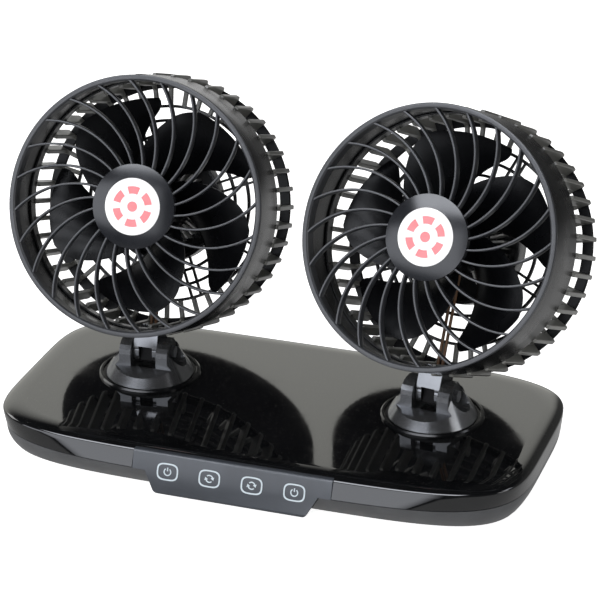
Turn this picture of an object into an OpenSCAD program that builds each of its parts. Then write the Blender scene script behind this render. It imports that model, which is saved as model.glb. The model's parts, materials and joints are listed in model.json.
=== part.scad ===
// Dual-head car fan: two swivelling, tilting fan heads on one low base with a touch panel.
// Floor at z = 0, front towards -Y, left head at -X. Millimetres and degrees.

/* [Base] */
// Width of the base, left to right
base_w = 274; // [266:1:290]
// Depth of the base, front to back
base_d = 140; // [134:1:156]
// How square the deck's rounded plan is
base_square = 5; // [4.5:0.25:6]
// How far the front and back swell out at the parting line
belly = 3.5; // [2:0.25:5]
// How square the plan is at the parting line
belly_square = 4.2; // [3.5:0.1:4.5]
// Height of the glossy deck above the floor
base_h = 24; // [23:0.5:28]
// Height of the parting line above the floor
parting_h = 14; // [12:0.5:15]
// Dark gap at the parting line
parting_gap = 0.6; // [0.3:0.1:0.9]
// Width of the deck's rolled edge
edge_w = 10; // [6:0.5:12]
// Height of the deck's rolled edge
edge_h = 2.8; // [2.2:0.2:3.4]
// How far the lower shell draws in at its foot
foot_inset = 5; // [3:0.5:7]
// Wall and floor thickness of the base shells
shell_wall = 2.2; // [1.8:0.1:2.6]
// Thickness of the grip pad under the base
pad_t = 2.5; // [2:0.25:3]
// How far the grip pad's ends lie inside the base's ends
pad_in_x = 35; // [32:1:46]
// How far the grip pad's sides lie inside the base's front and back
pad_in_y = 24; // [22:1:30]
// Corner radius of the grip pad
pad_corner = 14; // [8:1:20]

/* [Control panel] */
// Width of the panel's upper part
panel_w = 102; // [96:1:108]
// Width of the raised key field at its top
field_w = 89; // [84:1:92]
// Width of the raised key field at its foot
field_foot_w = 77; // [72:1:80]
// Corner radius at the foot of the key field
field_corner = 5; // [3:0.5:6]
// How far the panel's foot stands out from its top
field_out = 6.2; // [5:0.2:7.5]
// Gap round the panel
panel_gap = 0.25; // [0.15:0.05:0.4]
// How far the panel sits to the right of the base's middle
panel_x = -1.8; // [-3:0.2:3]
// Wall thickness of the panel
panel_wall = 2; // [1.6:0.1:2.4]
// Distance between the touch keys
key_pitch = 21.7; // [20:0.1:22]
// Width of a key's outline
key_w = 11; // [9:0.5:12]
// Height of a key's outline
key_h = 8.6; // [7:0.2:9]
// Line width of the key outlines
key_line = 0.7; // [0.5:0.1:1]
// Height of the keys above the floor
key_z = 14.2; // [13:0.2:15]
// Thickness of the printed key marks
print_t = 0.2; // [0.1:0.05:0.3]
// Thickness of the touch board
board_t = 1.6; // [1.2:0.2:2]

/* [Turrets] */
// Distance between the two swivel axes
swivel_pitch = 151.2; // [148:0.5:158]
// How far the swivel axes lie behind the base's middle
swivel_back = 9; // [5:0.5:12]
// Radius of the turret cone at the deck
cone_r = 22.8; // [22:0.2:24]
// Radius of the turret cone at its top
cone_top_r = 11.2; // [10.5:0.2:12]
// Height of the turret cone
cone_h = 18.7; // [18:0.25:19.5]
// Height of the ledge below the yoke's flat front
ledge_h = 7.3; // [6.5:0.1:8]
// Half depth of the yoke, front and back
yoke_half_d = 11; // [10:0.25:12]
// Width over the yoke's two ears
yoke_w = 25.5; // [24:0.25:26]
// Width of the neck between the ears
neck_w = 12.8; // [11:0.2:13]
// Height of the tilt pin above the deck
pin_h = 13; // [12.8:0.1:13.6]
// Radius of the tilt pin
pin_r = 1.6; // [1.4:0.1:1.8]
// Radius of the ears' round side recess
ear_cap_r = 7; // [6:0.25:7.2]
// Radius of the swivel spindle
spindle_r = 15; // [13.5:0.25:16]
// Radius of the lead hole down the spindle
lead_hole_r = 6; // [5:0.25:7]
// Radius of the seat ring round the turret
seat_r = 26; // [25:0.25:28]
// Height of the seat ring above the deck
seat_h = 1.5; // [1:0.1:2]

/* [Rest pose] */
// Turn of the left head, counter-clockwise from above
yaw_left = 3.6; // [-8:0.2:8]
// Turn of the right head, counter-clockwise from above
yaw_right = -7.1; // [-8:0.1:8]
// Upward tilt of the left head
tilt_left = 20.5; // [10:0.5:30]
// Upward tilt of the right head
tilt_right = 25; // [10:0.5:30]

/* [Fan heads] */
// Outer radius of the front ring
ring_r = 65; // [64:0.25:66]
// Width of the front ring's flat face
ring_face = 2.3; // [2:0.1:3]
// Front ring's edge above the tilt pin
ring_over_pin = 9.5; // [9:0.25:12]
// Front ring ahead of the tilt pin
ring_ahead = 48.5; // [47:0.25:49.5]
// Depth of the smooth band behind the front ring
band_d = 31; // [29:0.5:33]
// How much the band widens towards the rear
band_flare = 0.5; // [0:0.1:0.8]
// Wall thickness of the band
band_wall = 1.8; // [1.5:0.1:2]
// Whole depth of a head from ring to rear fins
head_d = 62; // [60:0.5:64]
// Length of the open window behind the band
window_d = 10.5; // [9.5:0.5:11.5]
// Length of the hoop round the fins
hoop_d = 15.5; // [14:0.5:16.5]
// Number of fins round a head
fin_count = 44; // [38:2:50]
// Thickness of a fin
fin_t = 2.3; // [1.6:0.1:2.6]
// How far the fins stand out from the band
fin_out = 1; // [0.6:0.1:1.4]
// Inner radius of the fins' turned-in rear ends
fin_reach_r = 50; // [48:0.5:52]

/* [Front grille] */
// Number of spiral ribs
rib_count = 24; // [20:1:28]
// Width of a rib's front edge
rib_t = 1.1; // [0.9:0.1:1.4]
// Depth of a rib
rib_d = 5; // [4:0.25:6]
// Angle that a rib sweeps from hub to ring
rib_sweep = 30; // [24:1:34]
// Bend of a rib along its length
rib_bend = 63; // [50:1:70]
// Radius of the hub cap
hub_r = 21; // [20:0.25:22]
// Rise of the hub cap's dome
hub_rise = 3; // [2:0.25:4]
// Radius of the white disc in the hub cap
disc_r = 14.2; // [13:0.2:15]

/* [Impeller] */
// Number of blades
blade_count = 5; // [4:1:6]
// Radius of the blade tips
blade_r = 54; // [51:0.5:56]
// Radius of the impeller's hub
boss_r = 16; // [15:0.25:17]
// Thickness of a blade
blade_t = 1.8; // [1.5:0.1:2.2]
// Half angle that a blade spans at its root
blade_half = 31; // [26:0.5:32]
// Half angle that a blade spans at its tip
blade_tip_half = 27; // [22:0.5:29]
// Angle that a blade sweeps from root to tip
blade_sweep = 47; // [40:1:52]
// Angle of the left impeller's first blade
blade_phase_left = 18; // [0:1:72]
// Angle of the right impeller's first blade
blade_phase_right = 64; // [0:1:72]

/* [Motor] */
// Radius of the motor can
can_r = 13.8; // [13:0.1:14]
// Length of the motor can
can_l = 21; // [20:0.25:22]
// Radius of the motor shaft
shaft_r = 1.5; // [1.2:0.1:1.8]
// Outer radius of the motor pot in the rear cage
pot_r = 30; // [28:0.5:32]
// Depth of the motor pot
pot_d = 11; // [9:0.5:12]

/* [Hidden] */
$fn = 64;
eps = 0.02;
run_gap = 0.05;     // radial clearance of a turning fit
part_gap = 0.3;     // gap between faces that move past each other
fit_gap = 0.1;      // gap between moulded pieces that are fixed together
left = -1;
right = 1;

outline_n = 72;
floor_z = pad_t;
floor_t = shell_wall + 0.2;
deck_t = shell_wall;

function yaw(side) = side == left ? yaw_left : yaw_right;
function tilt(side) = side == left ? tilt_left : tilt_right;
function phase(side) = side == left ? blade_phase_left : blade_phase_right;

// rounded plan of the base at height z, drawn in by inset, with a share of the belly
function plan_ring(z, inset, share = 0) =
    [for (i = [0:outline_n - 1])
        let (a = 360*i/outline_n, c = cos(a), s = sin(a),
             k = 2/(base_square + share*(belly_square - base_square)))
        [(base_w/2 - inset)*sign(c)*pow(abs(c), k),
         (base_d/2 + share*belly - inset)*sign(s)*pow(abs(s), k),
         z]];

// closed skin over a stack of rings that have equal numbers of points; bent ends are closed by
// a strip of triangles between the ring's two halves
module skin(rings, bent_ends = false) {
    n = len(rings[0]);
    last = len(rings) - 1;
    ends = bent_ends
        ? [for (i = [0:n/2 - 2], turn = [[i, i + 1, n - 2 - i], [i, n - 2 - i, n - 1 - i]])
            each [turn, [for (k = [2:-1:0]) last*n + turn[k]]]]
        : [[for (i = [0:n - 1]) i], [for (i = [n - 1:-1:0]) last*n + i]];
    polyhedron(
        points = [for (ring = rings) each ring],
        faces = concat(
            ends,
            [for (k = [0:last - 1], i = [0:n - 1])
                [k*n + i, (k + 1)*n + i, (k + 1)*n + (i + 1)%n]],
            [for (k = [0:last - 1], i = [0:n - 1])
                [k*n + i, (k + 1)*n + (i + 1)%n, k*n + (i + 1)%n]]),
        convexity = 6);
}

module tube(r_out, r_in, z0, z1) {
    rotate_extrude() translate([r_in, z0]) square([r_out - r_in, z1 - z0]);
}

// frames of the moving pieces, at the rest pose
module turret_frame(side) {
    translate([side*swivel_pitch/2, swivel_back, base_h]) rotate([0, 0, yaw(side)]) children();
}

module pin_frame(side) {
    turret_frame(side) translate([0, 0, pin_h]) rotate([-tilt(side), 0, 0]) children();
}

// z = 0 at the front ring, +z out of the front, +y up
module head_frame(side) {
    pin_frame(side) translate([0, -ring_ahead, axis_over_pin]) rotate([90, 0, 0]) children();
}

module along_x(length) {
    translate([-length/2, 0, 0]) rotate([90, 0, 90]) linear_extrude(length) children();
}

// Base shells

cross_w = 0.7;
cross_d = 0.8;
cross_share = 1.25;

// screw along z, its head below z = 0 and its shank above
module screw(shank_r, head_r, head_h, length) {
    difference() {
        union() {
            translate([0, 0, -head_h]) cylinder(r = head_r, h = head_h);
            cylinder(r = shank_r, h = length);
        }
        for (a = [0, 90]) translate([0, 0, -head_h]) rotate(a)
            cube([cross_share*head_r, cross_w, 2*cross_d], center = true);
    }
}

screw_r = 1.4;
screw_head_r = 2.7;
screw_head_h = 1.5;
boss_post_r = 3.6;
screw_end_z = 15;
parting_step = 0.3;
foot_curve = 1.8;
pad_w = base_w - 2*pad_in_x;
pad_d = base_d - 2*pad_in_y;
screw_from_pad = [11, 4];
screw_inset = [pad_in_x, pad_in_y] - screw_from_pad;
screw_spots = [for (x = [-1, 0, 1], y = [-1, 1])
    [x*(base_w/2 - screw_inset.x), y*(base_d/2 - screw_inset.y)]];
lip_h = 2.5;
lip_inset = shell_wall + fit_gap;
lip_t = 1.4;
gland_r = 6;
gland_bore_r = 2.1;
gland_z = (floor_z + base_h)/2 - 0.8;
gland_out = 5;
gland_in = 4;
gland_taper = 1.6;
gland_y = base_d/2 + belly;
bush_r = spindle_r + 3.5;

module panel_cut() {
    translate([panel_x, panel_back_y + fit_gap, 0]) rotate([90, 0, 0])
        linear_extrude(base_d/4) panel_front(panel_gap);
}

module base_top() {
    color("#0d0f12") difference() {
        union() {
            difference() {
                skin(concat(
                    [plan_ring(parting_h, 0, 1)],
                    [for (a = [0:15:90]) plan_ring(base_h - edge_h*(1 - sin(a)), edge_w*(1 - cos(a)))]));
                skin([
                    plan_ring(parting_h - 1, shell_wall, 1),
                    plan_ring(parting_h + lip_h + 1, shell_wall, 1),
                    plan_ring(base_h - edge_h - deck_t, shell_wall + 1),
                    plan_ring(base_h - deck_t, edge_w)]);
            }
            for (p = screw_spots) translate([p.x, p.y, floor_z + floor_t])
                cylinder(r = boss_post_r, h = base_h - deck_t - floor_z - floor_t + eps);
        }
        for (side = [left, right]) translate([side*swivel_pitch/2, swivel_back, 0])
            cylinder(r = bush_r + fit_gap, h = base_h + 1);
        for (p = screw_spots) translate([p.x, p.y, 0])
            cylinder(r = screw_r, h = screw_end_z + 1);
        panel_cut();
        gland_hole();
    }
}

// how far the lower shell is drawn in at share u of its height
function foot_draw(u) = parting_step + (foot_inset - parting_step)*pow(1 - u, foot_curve);

module base_bottom() {
    depth = parting_h - parting_gap - floor_z;
    color("#17191c") difference() {
        union() {
            difference() {
                union() {
                    skin([for (u = [0, 0.08, 0.25, 0.5, 0.75, 1])
                        plan_ring(floor_z + u*depth, foot_draw(u), u)]);
                    skin([
                        plan_ring(floor_z + depth*0.8, lip_inset, 0.8),
                        plan_ring(parting_h + lip_h, lip_inset, 1)]);
                }
                skin([
                    plan_ring(floor_z + floor_t, foot_inset + shell_wall),
                    plan_ring(floor_z + floor_t + depth/2, foot_draw(0.5) + shell_wall, 0.5),
                    plan_ring(parting_h, lip_inset + lip_t, 1),
                    plan_ring(parting_h + lip_h + 1, lip_inset + lip_t, 1)]);
            }
        }
        for (p = screw_spots) translate([p.x, p.y, 0]) {
            cylinder(r = screw_r + fit_gap, h = base_h);
            cylinder(r = screw_head_r + fit_gap, h = floor_z + screw_head_h);
            translate([0, 0, floor_z + floor_t]) cylinder(r = boss_post_r + part_gap, h = base_h);
        }
        panel_cut();
        gland_hole();
    }
}

module base_screws() {
    color("#8f9296") for (p = screw_spots) translate([p.x, p.y, floor_z + screw_head_h])
        screw(screw_r, screw_head_r, screw_head_h, screw_end_z - floor_z - screw_head_h);
}

module grip_pad() {
    color("#1d1e20") linear_extrude(pad_t) round_rect(pad_w, pad_d, pad_corner);
}

// rectangle with true round corners
module round_rect(w, d, r) {
    square([w - 2*r, d], center = true);
    square([w, d - 2*r], center = true);
    for (x = [-1, 1], y = [-1, 1]) translate([x*(w/2 - r), y*(d/2 - r)]) circle(r);
}

// Cord gland in the rear of the lower shell

module gland_hole() {
    translate([0, gland_y, gland_z]) rotate([90, 0, 0])
        cylinder(r = gland_r + fit_gap, h = 2*(shell_wall + foot_inset + gland_in), center = true);
}

module cord_gland() {
    color("#101113") translate([0, gland_y, gland_z]) rotate([-90, 0, 0]) difference() {
        union() {
            translate([0, 0, -shell_wall - gland_in])
                cylinder(r = gland_r, h = shell_wall + gland_in + eps);
            cylinder(r1 = gland_r, r2 = gland_r - gland_taper, h = gland_out);
        }
        translate([0, 0, -shell_wall - gland_in - 1])
            cylinder(r = gland_bore_r, h = shell_wall + gland_in + gland_out + 2);
    }
}

// Control panel

panel_top_z = base_h - 1.3;
panel_low_z = parting_h - parting_gap;
field_foot_z = floor_z;
panel_top_y = -base_d/2 - 0.3;
panel_back_y = -base_d/2 + shell_wall + 4;
face_lean = atan2(field_out, panel_top_z - field_foot_z);
panel_edge = 1.6;
board_h = 11;
spring_l = 4;
spring_r = 2.6;
spring_wall = 0.9;
board_w = 3*key_pitch + 2*(spring_r + part_gap);
board_post_r = 2.2;
board_post_x = key_pitch;
board_screw_r = 0.9;
board_screw_head_r = 2;
board_post_y = board_screw_head_r + fit_gap - board_h/2;
board_screw_head_h = 1.2;
board_screw_grip = 3;

// frame of the panel's leaning face: +z out of it, +y up along it, origin level with the keys
module face_frame() {
    translate([panel_x, panel_top_y - (panel_top_z - key_z)*tan(face_lean), key_z])
        rotate([90 - face_lean, 0, 0]) children();
}

// front outline of the panel: wide above, key field slanting in below to round corners
module panel_front(gap = 0) {
    slant = atan2(field_w - field_foot_w, 2*(panel_low_z - field_foot_z));
    corner_z = field_foot_z + field_corner;
    corner_x = field_w/2 - tan(slant)*(panel_low_z - corner_z) - field_corner/cos(slant);
    r = field_corner + gap;
    half = concat(
        [[panel_w/2 + gap, panel_top_z + gap],
         [panel_w/2 + gap, panel_low_z - gap],
         [field_w/2 + gap, panel_low_z - gap]],
        [for (i = [0:4]) let (a = -slant - (90 - slant)*i/4) [corner_x + r*cos(a), corner_z + r*sin(a)]]);
    polygon(concat(half, [for (i = [len(half) - 1:-1:0]) [-half[i].x, half[i].y]]));
}

// side outline of the panel: a rolled top edge, the leaning face and a round foot
module panel_side() {
    foot_y = panel_top_y - field_out;
    e = panel_edge;
    polygon([
        [panel_back_y, panel_top_z],
        [panel_top_y + e, panel_top_z],
        [panel_top_y + e*0.35, panel_top_z - e*0.2],
        [panel_top_y - e*tan(face_lean), panel_top_z - e],
        [foot_y + e*tan(face_lean), field_foot_z + e],
        [foot_y + e*0.65, field_foot_z + e*0.25],
        [foot_y + e*1.3, field_foot_z],
        [panel_back_y, field_foot_z]]);
}

module control_panel() {
    color("#56585d") difference() {
        intersection() {
            translate([panel_x, 0, 0]) along_x(2*panel_w) panel_side();
            translate([panel_x, panel_back_y, 0]) rotate([90, 0, 0])
                linear_extrude(base_d/4) panel_front();
        }
        face_frame() difference() {
            translate([-board_w/2, -board_h/2, -panel_wall - base_d/4])
                cube([board_w, board_h, base_d/4]);
            for (x = [-1, 1]) translate([x*board_post_x, board_post_y, -panel_wall - spring_l])
                cylinder(r = board_post_r, h = spring_l + 1);
        }
        face_frame() for (x = [-1, 1])
            translate([x*board_post_x, board_post_y, -panel_wall - spring_l - 1])
                cylinder(r = board_screw_r, h = board_screw_grip + 1 + 2*part_gap);
    }
}

module touch_board() {
    color("#14532d") face_frame() translate([0, 0, -panel_wall - spring_l - board_t]) difference() {
        translate([-board_w/2 + fit_gap, -board_h/2 + fit_gap, 0])
            cube([board_w - 2*fit_gap, board_h - 2*fit_gap, board_t]);
        for (x = [-1, 1]) translate([x*board_post_x, board_post_y, -1])
            cylinder(r = board_screw_r + fit_gap, h = board_t + 2);
    }
}

module board_screws() {
    color("#8f9296") face_frame() for (x = [-1, 1])
        translate([x*board_post_x, board_post_y, -panel_wall - spring_l - board_t])
            screw(board_screw_r, board_screw_head_r, board_screw_head_h, board_t + board_screw_grip);
}

key_x = [for (i = [0:3]) (i - 1.5)*key_pitch];

module touch_springs() {
    color("#b8a878") face_frame() for (x = key_x)
        translate([x, 0, -panel_wall - spring_l]) tube(spring_r, spring_r - spring_wall, 0, spring_l);
}

// oval outline of one key
function oval(w, h) = [for (i = [0:35])
    let (a = 10*i, c = cos(a), s = sin(a))
    [w/2*sign(c)*pow(abs(c), 0.6), h/2*sign(s)*pow(abs(s), 0.6)]];

module arc(r, line, from, sweep, t) {
    rotate(from) rotate_extrude(angle = sweep) translate([r - line/2, 0]) square([line, t]);
}

module power_mark() {
    r = key_h*0.2;
    arc(r, key_line*0.8, 125, 290, print_t);
    translate([-key_line*0.4, r*0.25, 0]) cube([key_line*0.8, r, print_t]);
}

module cycle_mark() {
    r = key_h*0.2;
    head = key_h*0.11;
    for (a = [0, 180]) rotate(a) {
        arc(r, key_line*0.8, 20, 115, print_t);
        rotate(20) translate([r, 0, 0]) linear_extrude(print_t)
            polygon([[-head, 0.05], [head, 0.05], [0, -head*1.4]]);
    }
}

module key_icons() {
    color("#dfe8ef") face_frame() for (i = [0:3]) translate([key_x[i], 0, 0]) {
        difference() {
            linear_extrude(print_t) polygon(oval(key_w, key_h));
            translate([0, 0, -1]) linear_extrude(print_t + 2)
                polygon(oval(key_w - 2*key_line, key_h - 2*key_line));
        }
        if (i == 0 || i == 3) power_mark(); else cycle_mark();
    }
}

// Leads inside the base, from the touch board to the foot of each spindle

lead_r = 1.1;
lead_bend_r = lead_r + 0.5;
lead_z = floor_z + floor_t + lead_bend_r + fit_gap;
lead_start_x = 12;
board_back = panel_wall + spring_l + board_t;

// point in the panel's side view: up along the leaning face, and behind it
function behind_face(up, back) = [
    panel_top_y - (panel_top_z - key_z)*tan(face_lean) + up*sin(face_lean) + back*cos(face_lean),
    key_z + up*cos(face_lean) - back*sin(face_lean)];

module rod(a, b, r) {
    d = b - a;
    translate(a) rotate([0, acos(d.z/norm(d)), atan2(d.y, d.x)]) cylinder(r = r, h = norm(d));
}

module base_leads() {
    start = behind_face(board_post_y/2, board_back + fit_gap);
    color("#3a2a20") for (side = [left, right]) {
        p = [
            [panel_x + side*lead_start_x, start.x, start.y],
            [panel_x + side*lead_start_x, start.x + (start.y - lead_z)/tan(face_lean), lead_z],
            [side*swivel_pitch/2, swivel_back, lead_z],
            [side*swivel_pitch/2, swivel_back, base_h - 4]];
        for (i = [0:2]) rod(p[i], p[i + 1], lead_r);
        for (i = [1:2]) translate(p[i]) sphere(lead_bend_r);
    }
}

// Swivel: bush in the deck, turret, retainer

seat_t = 0.6;
seat_flat = 1.8;
seat_edge = 0.8;
bush_drop = deck_t + 2.2;
spindle_drop = bush_drop + part_gap;
retainer_t = 2;
retainer_r = bush_r - 0.6;
retainer_screw_pcd_r = (spindle_r + lead_hole_r)/2;
retainer_screw_turns = [30:120:270];
retainer_screw_r = 1;
retainer_screw_head_r = 2;
retainer_screw_head_h = 1.4;

module seat_ring(side) {
    color("#1c1e21") turret_frame(side) rotate_extrude() polygon([
        [spindle_r + run_gap, -bush_drop],
        [bush_r, -bush_drop],
        [bush_r, 0],
        [seat_r, 0],
        [seat_r, seat_h/2],
        [seat_r - seat_edge, seat_h],
        [seat_r - seat_flat, seat_h],
        [seat_r - seat_flat - seat_edge/2, seat_t],
        [spindle_r + run_gap, seat_t]]);
}

cone_z0 = seat_t + part_gap;
slot_floor = 3;
slot_lip = 1;
slot_w = neck_w + 2*part_gap;
ear_top = 20.1;
ear_front_z = pin_h + 0.5;
ear_round_front = 7;
ear_round_drop = 0.1;
ear_slope_y = 2.6;
ear_slope_drop = 0.5;
ear_back_in = 2.2;
ear_back_rise = 0.3;
ear_foot_in = 0.4;
ear_foot_drop = 2.2;
ear_cap_x = 12.2;
pin_half = ear_cap_x;
ledge_slope = 0.22;
ledge_reach = cone_r;

// side outline of the turret: sloping ledges, flat yoke faces, top clear of the tilting head
module yoke_side() {
    polygon(concat(
        [[-yoke_half_d - ledge_reach, cone_z0],
         [-yoke_half_d - ledge_reach, ledge_h - ledge_slope*ledge_reach],
         [-yoke_half_d, ledge_h]],
        [for (a = [0:22.5:90])
            [-yoke_half_d + ear_round_front*(1 - cos(a)),
             ear_front_z + (ear_top - ear_round_drop - ear_front_z)*sin(a)]],
        [[0, ear_top],
         [ear_slope_y, ear_top - ear_slope_drop],
         [yoke_half_d - ear_back_in, pin_h + ear_back_rise],
         [yoke_half_d - ear_foot_in, pin_h - ear_foot_drop],
         [yoke_half_d, ledge_h],
         [yoke_half_d + ledge_reach, ledge_h - ledge_slope*ledge_reach],
         [yoke_half_d + ledge_reach, cone_z0]]));
}

// side outline of the slot between the ears, deeper behind a low lip
module slot_side() {
    lip_z = ledge_h - 0.15;
    far = yoke_half_d + ledge_reach;
    polygon([
        [-far, lip_z],
        [-yoke_half_d + slot_lip, lip_z],
        [-yoke_half_d + 2*slot_lip, slot_floor],
        [yoke_half_d - 2*slot_lip, slot_floor],
        [yoke_half_d - slot_lip, lip_z],
        [far, lip_z],
        [far, 2*cone_h],
        [-far, 2*cone_h]]);
}

module turret(side) {
    color("#26282b") turret_frame(side) difference() {
        union() {
            intersection() {
                union() {
                    translate([0, 0, cone_z0])
                        cylinder(r1 = cone_r, r2 = cone_top_r, h = cone_h - cone_z0);
                    translate([-yoke_w/2, -yoke_half_d - 1, cone_z0 + 1])
                        cube([yoke_w, 2*yoke_half_d + 2, ear_top]);
                }
                along_x(3*yoke_w) yoke_side();
            }
            translate([0, 0, -spindle_drop]) cylinder(r = spindle_r, h = spindle_drop + cone_z0 + 1);
        }
        along_x(slot_w) slot_side();
        // round recesses for the pin's head and nut
        for (s = [-1, 1]) translate([s*(ear_cap_x + cone_r), 0, pin_h]) rotate([0, 90, 0])
            cylinder(r = ear_cap_r, h = 2*cone_r, center = true);
        translate([0, 0, pin_h]) rotate([0, 90, 0]) cylinder(r = pin_r, h = 4*cone_r, center = true);
        translate([0, 0, -spindle_drop - 1]) cylinder(r = lead_hole_r, h = spindle_drop + slot_floor + 1.5);
        for (a = retainer_screw_turns) rotate(a) translate([retainer_screw_pcd_r, 0, -spindle_drop - 1])
            cylinder(r = retainer_screw_r, h = spindle_drop + 1 + eps);
    }
}

module swivel_retainer(side) {
    color("#8f9296") turret_frame(side) difference() {
        tube(retainer_r, lead_hole_r, -spindle_drop - retainer_t, -spindle_drop);
        for (a = retainer_screw_turns) rotate(a)
            translate([retainer_screw_pcd_r, 0, -spindle_drop - retainer_t - 1])
                cylinder(r = retainer_screw_r, h = retainer_t + 2);
    }
}

module retainer_screws(side) {
    color("#8f9296") turret_frame(side) for (a = retainer_screw_turns) rotate(a)
        translate([retainer_screw_pcd_r, 0, -spindle_drop - retainer_t])
            screw(retainer_screw_r, retainer_screw_head_r, retainer_screw_head_h,
                retainer_t + spindle_drop - 0.5);
}

// Tilt hinge

pin_head_r = 3.2;
pin_head_t = 1.8;
nut_r = 3.3;

module tilt_pin(side) {
    color("#8f9296") turret_frame(side) translate([-pin_half, 0, pin_h]) rotate([0, 90, 0])
        screw(pin_r, pin_head_r, pin_head_t, 2*pin_half + pin_head_t);
}

module tilt_nut(side) {
    color("#8f9296") turret_frame(side) translate([pin_half, 0, pin_h]) rotate([0, 90, 0]) difference() {
        cylinder(r = nut_r, h = pin_head_t, $fn = 6);
        translate([0, 0, -1]) cylinder(r = pin_r, h = pin_head_t + 2);
    }
}

// Fan head: front ring and spiral grille

axis_over_pin = ring_r + ring_over_pin;
ring_t = 2.2;
ring_edge = 0.3;
ring_back = 0.8;
ring_under = 0.6;
groove = 0.3;
lip_len = 7;
lip_wall = 1.2;
grille_hub_wall = 1.6;
grille_hub_in = 0.8;
band_in_r = ring_r - band_wall;
lip_r = band_in_r - fit_gap;
rib_in_r = hub_r - grille_hub_in - grille_hub_wall/4;
rib_out_r = ring_r - ring_face - ring_under/3;
cap_seat_z = -0.5;
rib_z = cap_seat_z - fit_gap;

module spiral_rib() {
    from = [rib_in_r, 0];
    to = rib_out_r*[cos(rib_sweep), sin(rib_sweep)];
    chord = to - from;
    bend_r = norm(chord)/2/sin(rib_bend/2);
    start = atan2(chord.y, chord.x) - rib_bend/2;
    centre = from + bend_r*[cos(start + 90), sin(start + 90)];
    translate([centre.x, centre.y, rib_z - rib_d]) arc(bend_r, rib_t, start - 90, rib_bend, rib_d);
}

module front_grille(side) {
    color("#7d7e85") head_frame(side) {
        rotate_extrude() polygon([
            [ring_r - ring_face, 0],
            [ring_r - ring_edge, 0],
            [ring_r, -ring_edge],
            [ring_r, -ring_t],
            [lip_r, -ring_t],
            [lip_r, -lip_len],
            [lip_r - lip_wall, -lip_len],
            [ring_r - ring_face - ring_under, -ring_back]]);
        for (i = [0:rib_count - 1]) rotate(360*(i + 0.5)/rib_count) spiral_rib();
        tube(hub_r - grille_hub_in, hub_r - grille_hub_in - grille_hub_wall, rib_z - rib_d - part_gap,
            cap_seat_z);
    }
}

dome_r = (hub_r*hub_r + hub_rise*hub_rise)/2/hub_rise;
plug_r = hub_r - grille_hub_in - grille_hub_wall - fit_gap;
plug_wall = 1.4;
plug_end_z = rib_z - rib_d + 0.5;
badge_z0 = 0.6;
badge_z1 = dome_z(disc_r) + fit_gap;
badge_print_t = 0.12;
dash_count = 6;
dash_half = 19;

// height of the hub cap's dome at radius r
function dome_z(r) = hub_rise - dome_r + sqrt(dome_r*dome_r - r*r);

module hub_cap(side) {
    steps = 6;
    recess_r = disc_r + fit_gap;
    color("#14161a") head_frame(side) rotate_extrude() polygon(concat(
        [[0, cap_seat_z], [plug_r - plug_wall, cap_seat_z], [plug_r - plug_wall, plug_end_z],
         [plug_r, plug_end_z], [plug_r, cap_seat_z], [hub_r - ring_edge, cap_seat_z]],
        [for (i = [0:steps]) let (r = hub_r - i/steps*(hub_r - recess_r)) [r, dome_z(r)]],
        [[recess_r, badge_z0], [0, badge_z0]]));
}

module hub_badge(side) {
    color("#f4f4f4") head_frame(side) translate([0, 0, badge_z0])
        cylinder(r = disc_r, h = badge_z1 - badge_z0);
}

// plain ring of dashes round a dot, a generic mark
module badge_print(side) {
    color("#ef7f80") head_frame(side) translate([0, 0, badge_z1]) {
        for (i = [0:dash_count - 1]) rotate(360*(i + 0.5)/dash_count)
            arc(disc_r*0.58, disc_r*0.26, -dash_half, 2*dash_half, badge_print_t);
        cylinder(r = disc_r*0.18, h = badge_print_t);
    }
}

module band(side) {
    rear = -band_d;
    color("#17191c") head_frame(side) rotate_extrude() polygon([
        [ring_r - ring_edge/3, -ring_t - groove],
        [ring_r + band_flare, rear],
        [band_in_r + band_flare*0.3, rear],
        [band_in_r, -ring_t - groove]]);
}

// Fan head: finned rear cage with the neck

collar_r = band_in_r - fit_gap;
collar_wall = 1.6;
collar_in_r = collar_r - collar_wall;
collar_len = 6;
collar_root = 1.4;
hoop_t = 1.7;
hoop_in = 0.8;
hoop_r = ring_r - hoop_in;
fin_r = ring_r + band_flare + fin_out;
fin_in_r = collar_in_r - 0.8;
fin_edge = 0.7;
fin_corner = 2.2;
fin_inner_corner = 2.4;
fin_start = -band_d - part_gap;
rear_z = -head_d;
rear_bar = 2.4;
bar_step = 0.1;     // how much a crossing bar is thinner on each face than the one it joins
hoop_z1 = fin_start - window_d;
hoop_z0 = hoop_z1 - hoop_d;
cage_ring_rs = [fin_reach_r, fin_reach_r - 7.3, fin_reach_r - 14.6];
cage_ring_t = 1.5;
spoke_pairs = 8;
spoke_gap = 5;
spoke_t = 1.2;
pot_wall = 1.8;
pot_floor_t = 2;
pot_notch_w = 6;
pot_z1 = rear_z + pot_d;
knuckle_r = 7;
neck_root = 0.6;
neck_notch_share = 0.52;
neck_notch_d = 4.4;
neck_notch_z = 1.2;
lead_hole_neck_r = 2.4;
lead_hole_neck_z = 3.2;

module fin() {
    rotate([90, 0, 0]) translate([0, 0, -fin_t/2]) linear_extrude(fin_t) polygon([
        [fin_in_r, fin_start],
        [fin_r - fin_edge, fin_start],
        [fin_r, fin_start - fin_edge],
        for (a = [0:30:90]) [fin_r - fin_corner*(1 - cos(a)), rear_z + fin_corner*(1 - sin(a))],
        [fin_reach_r, rear_z],
        [fin_reach_r, rear_z + rear_bar],
        for (a = [90:-45:0]) [fin_in_r - fin_inner_corner*(1 - cos(a)),
            rear_z + rear_bar + fin_inner_corner*(1 - sin(a))]]);
}

module neck_block() {
    top = axis_over_pin - fin_in_r - neck_root;
    // solid neck from the cage down to a round knuckle on the pin
    rotate([0, 90, 0]) cylinder(r = knuckle_r, h = neck_w, center = true);
    translate([-neck_w/2, -knuckle_r - 1, 0]) cube([neck_w, 2*knuckle_r + 2, top]);
}

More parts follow.
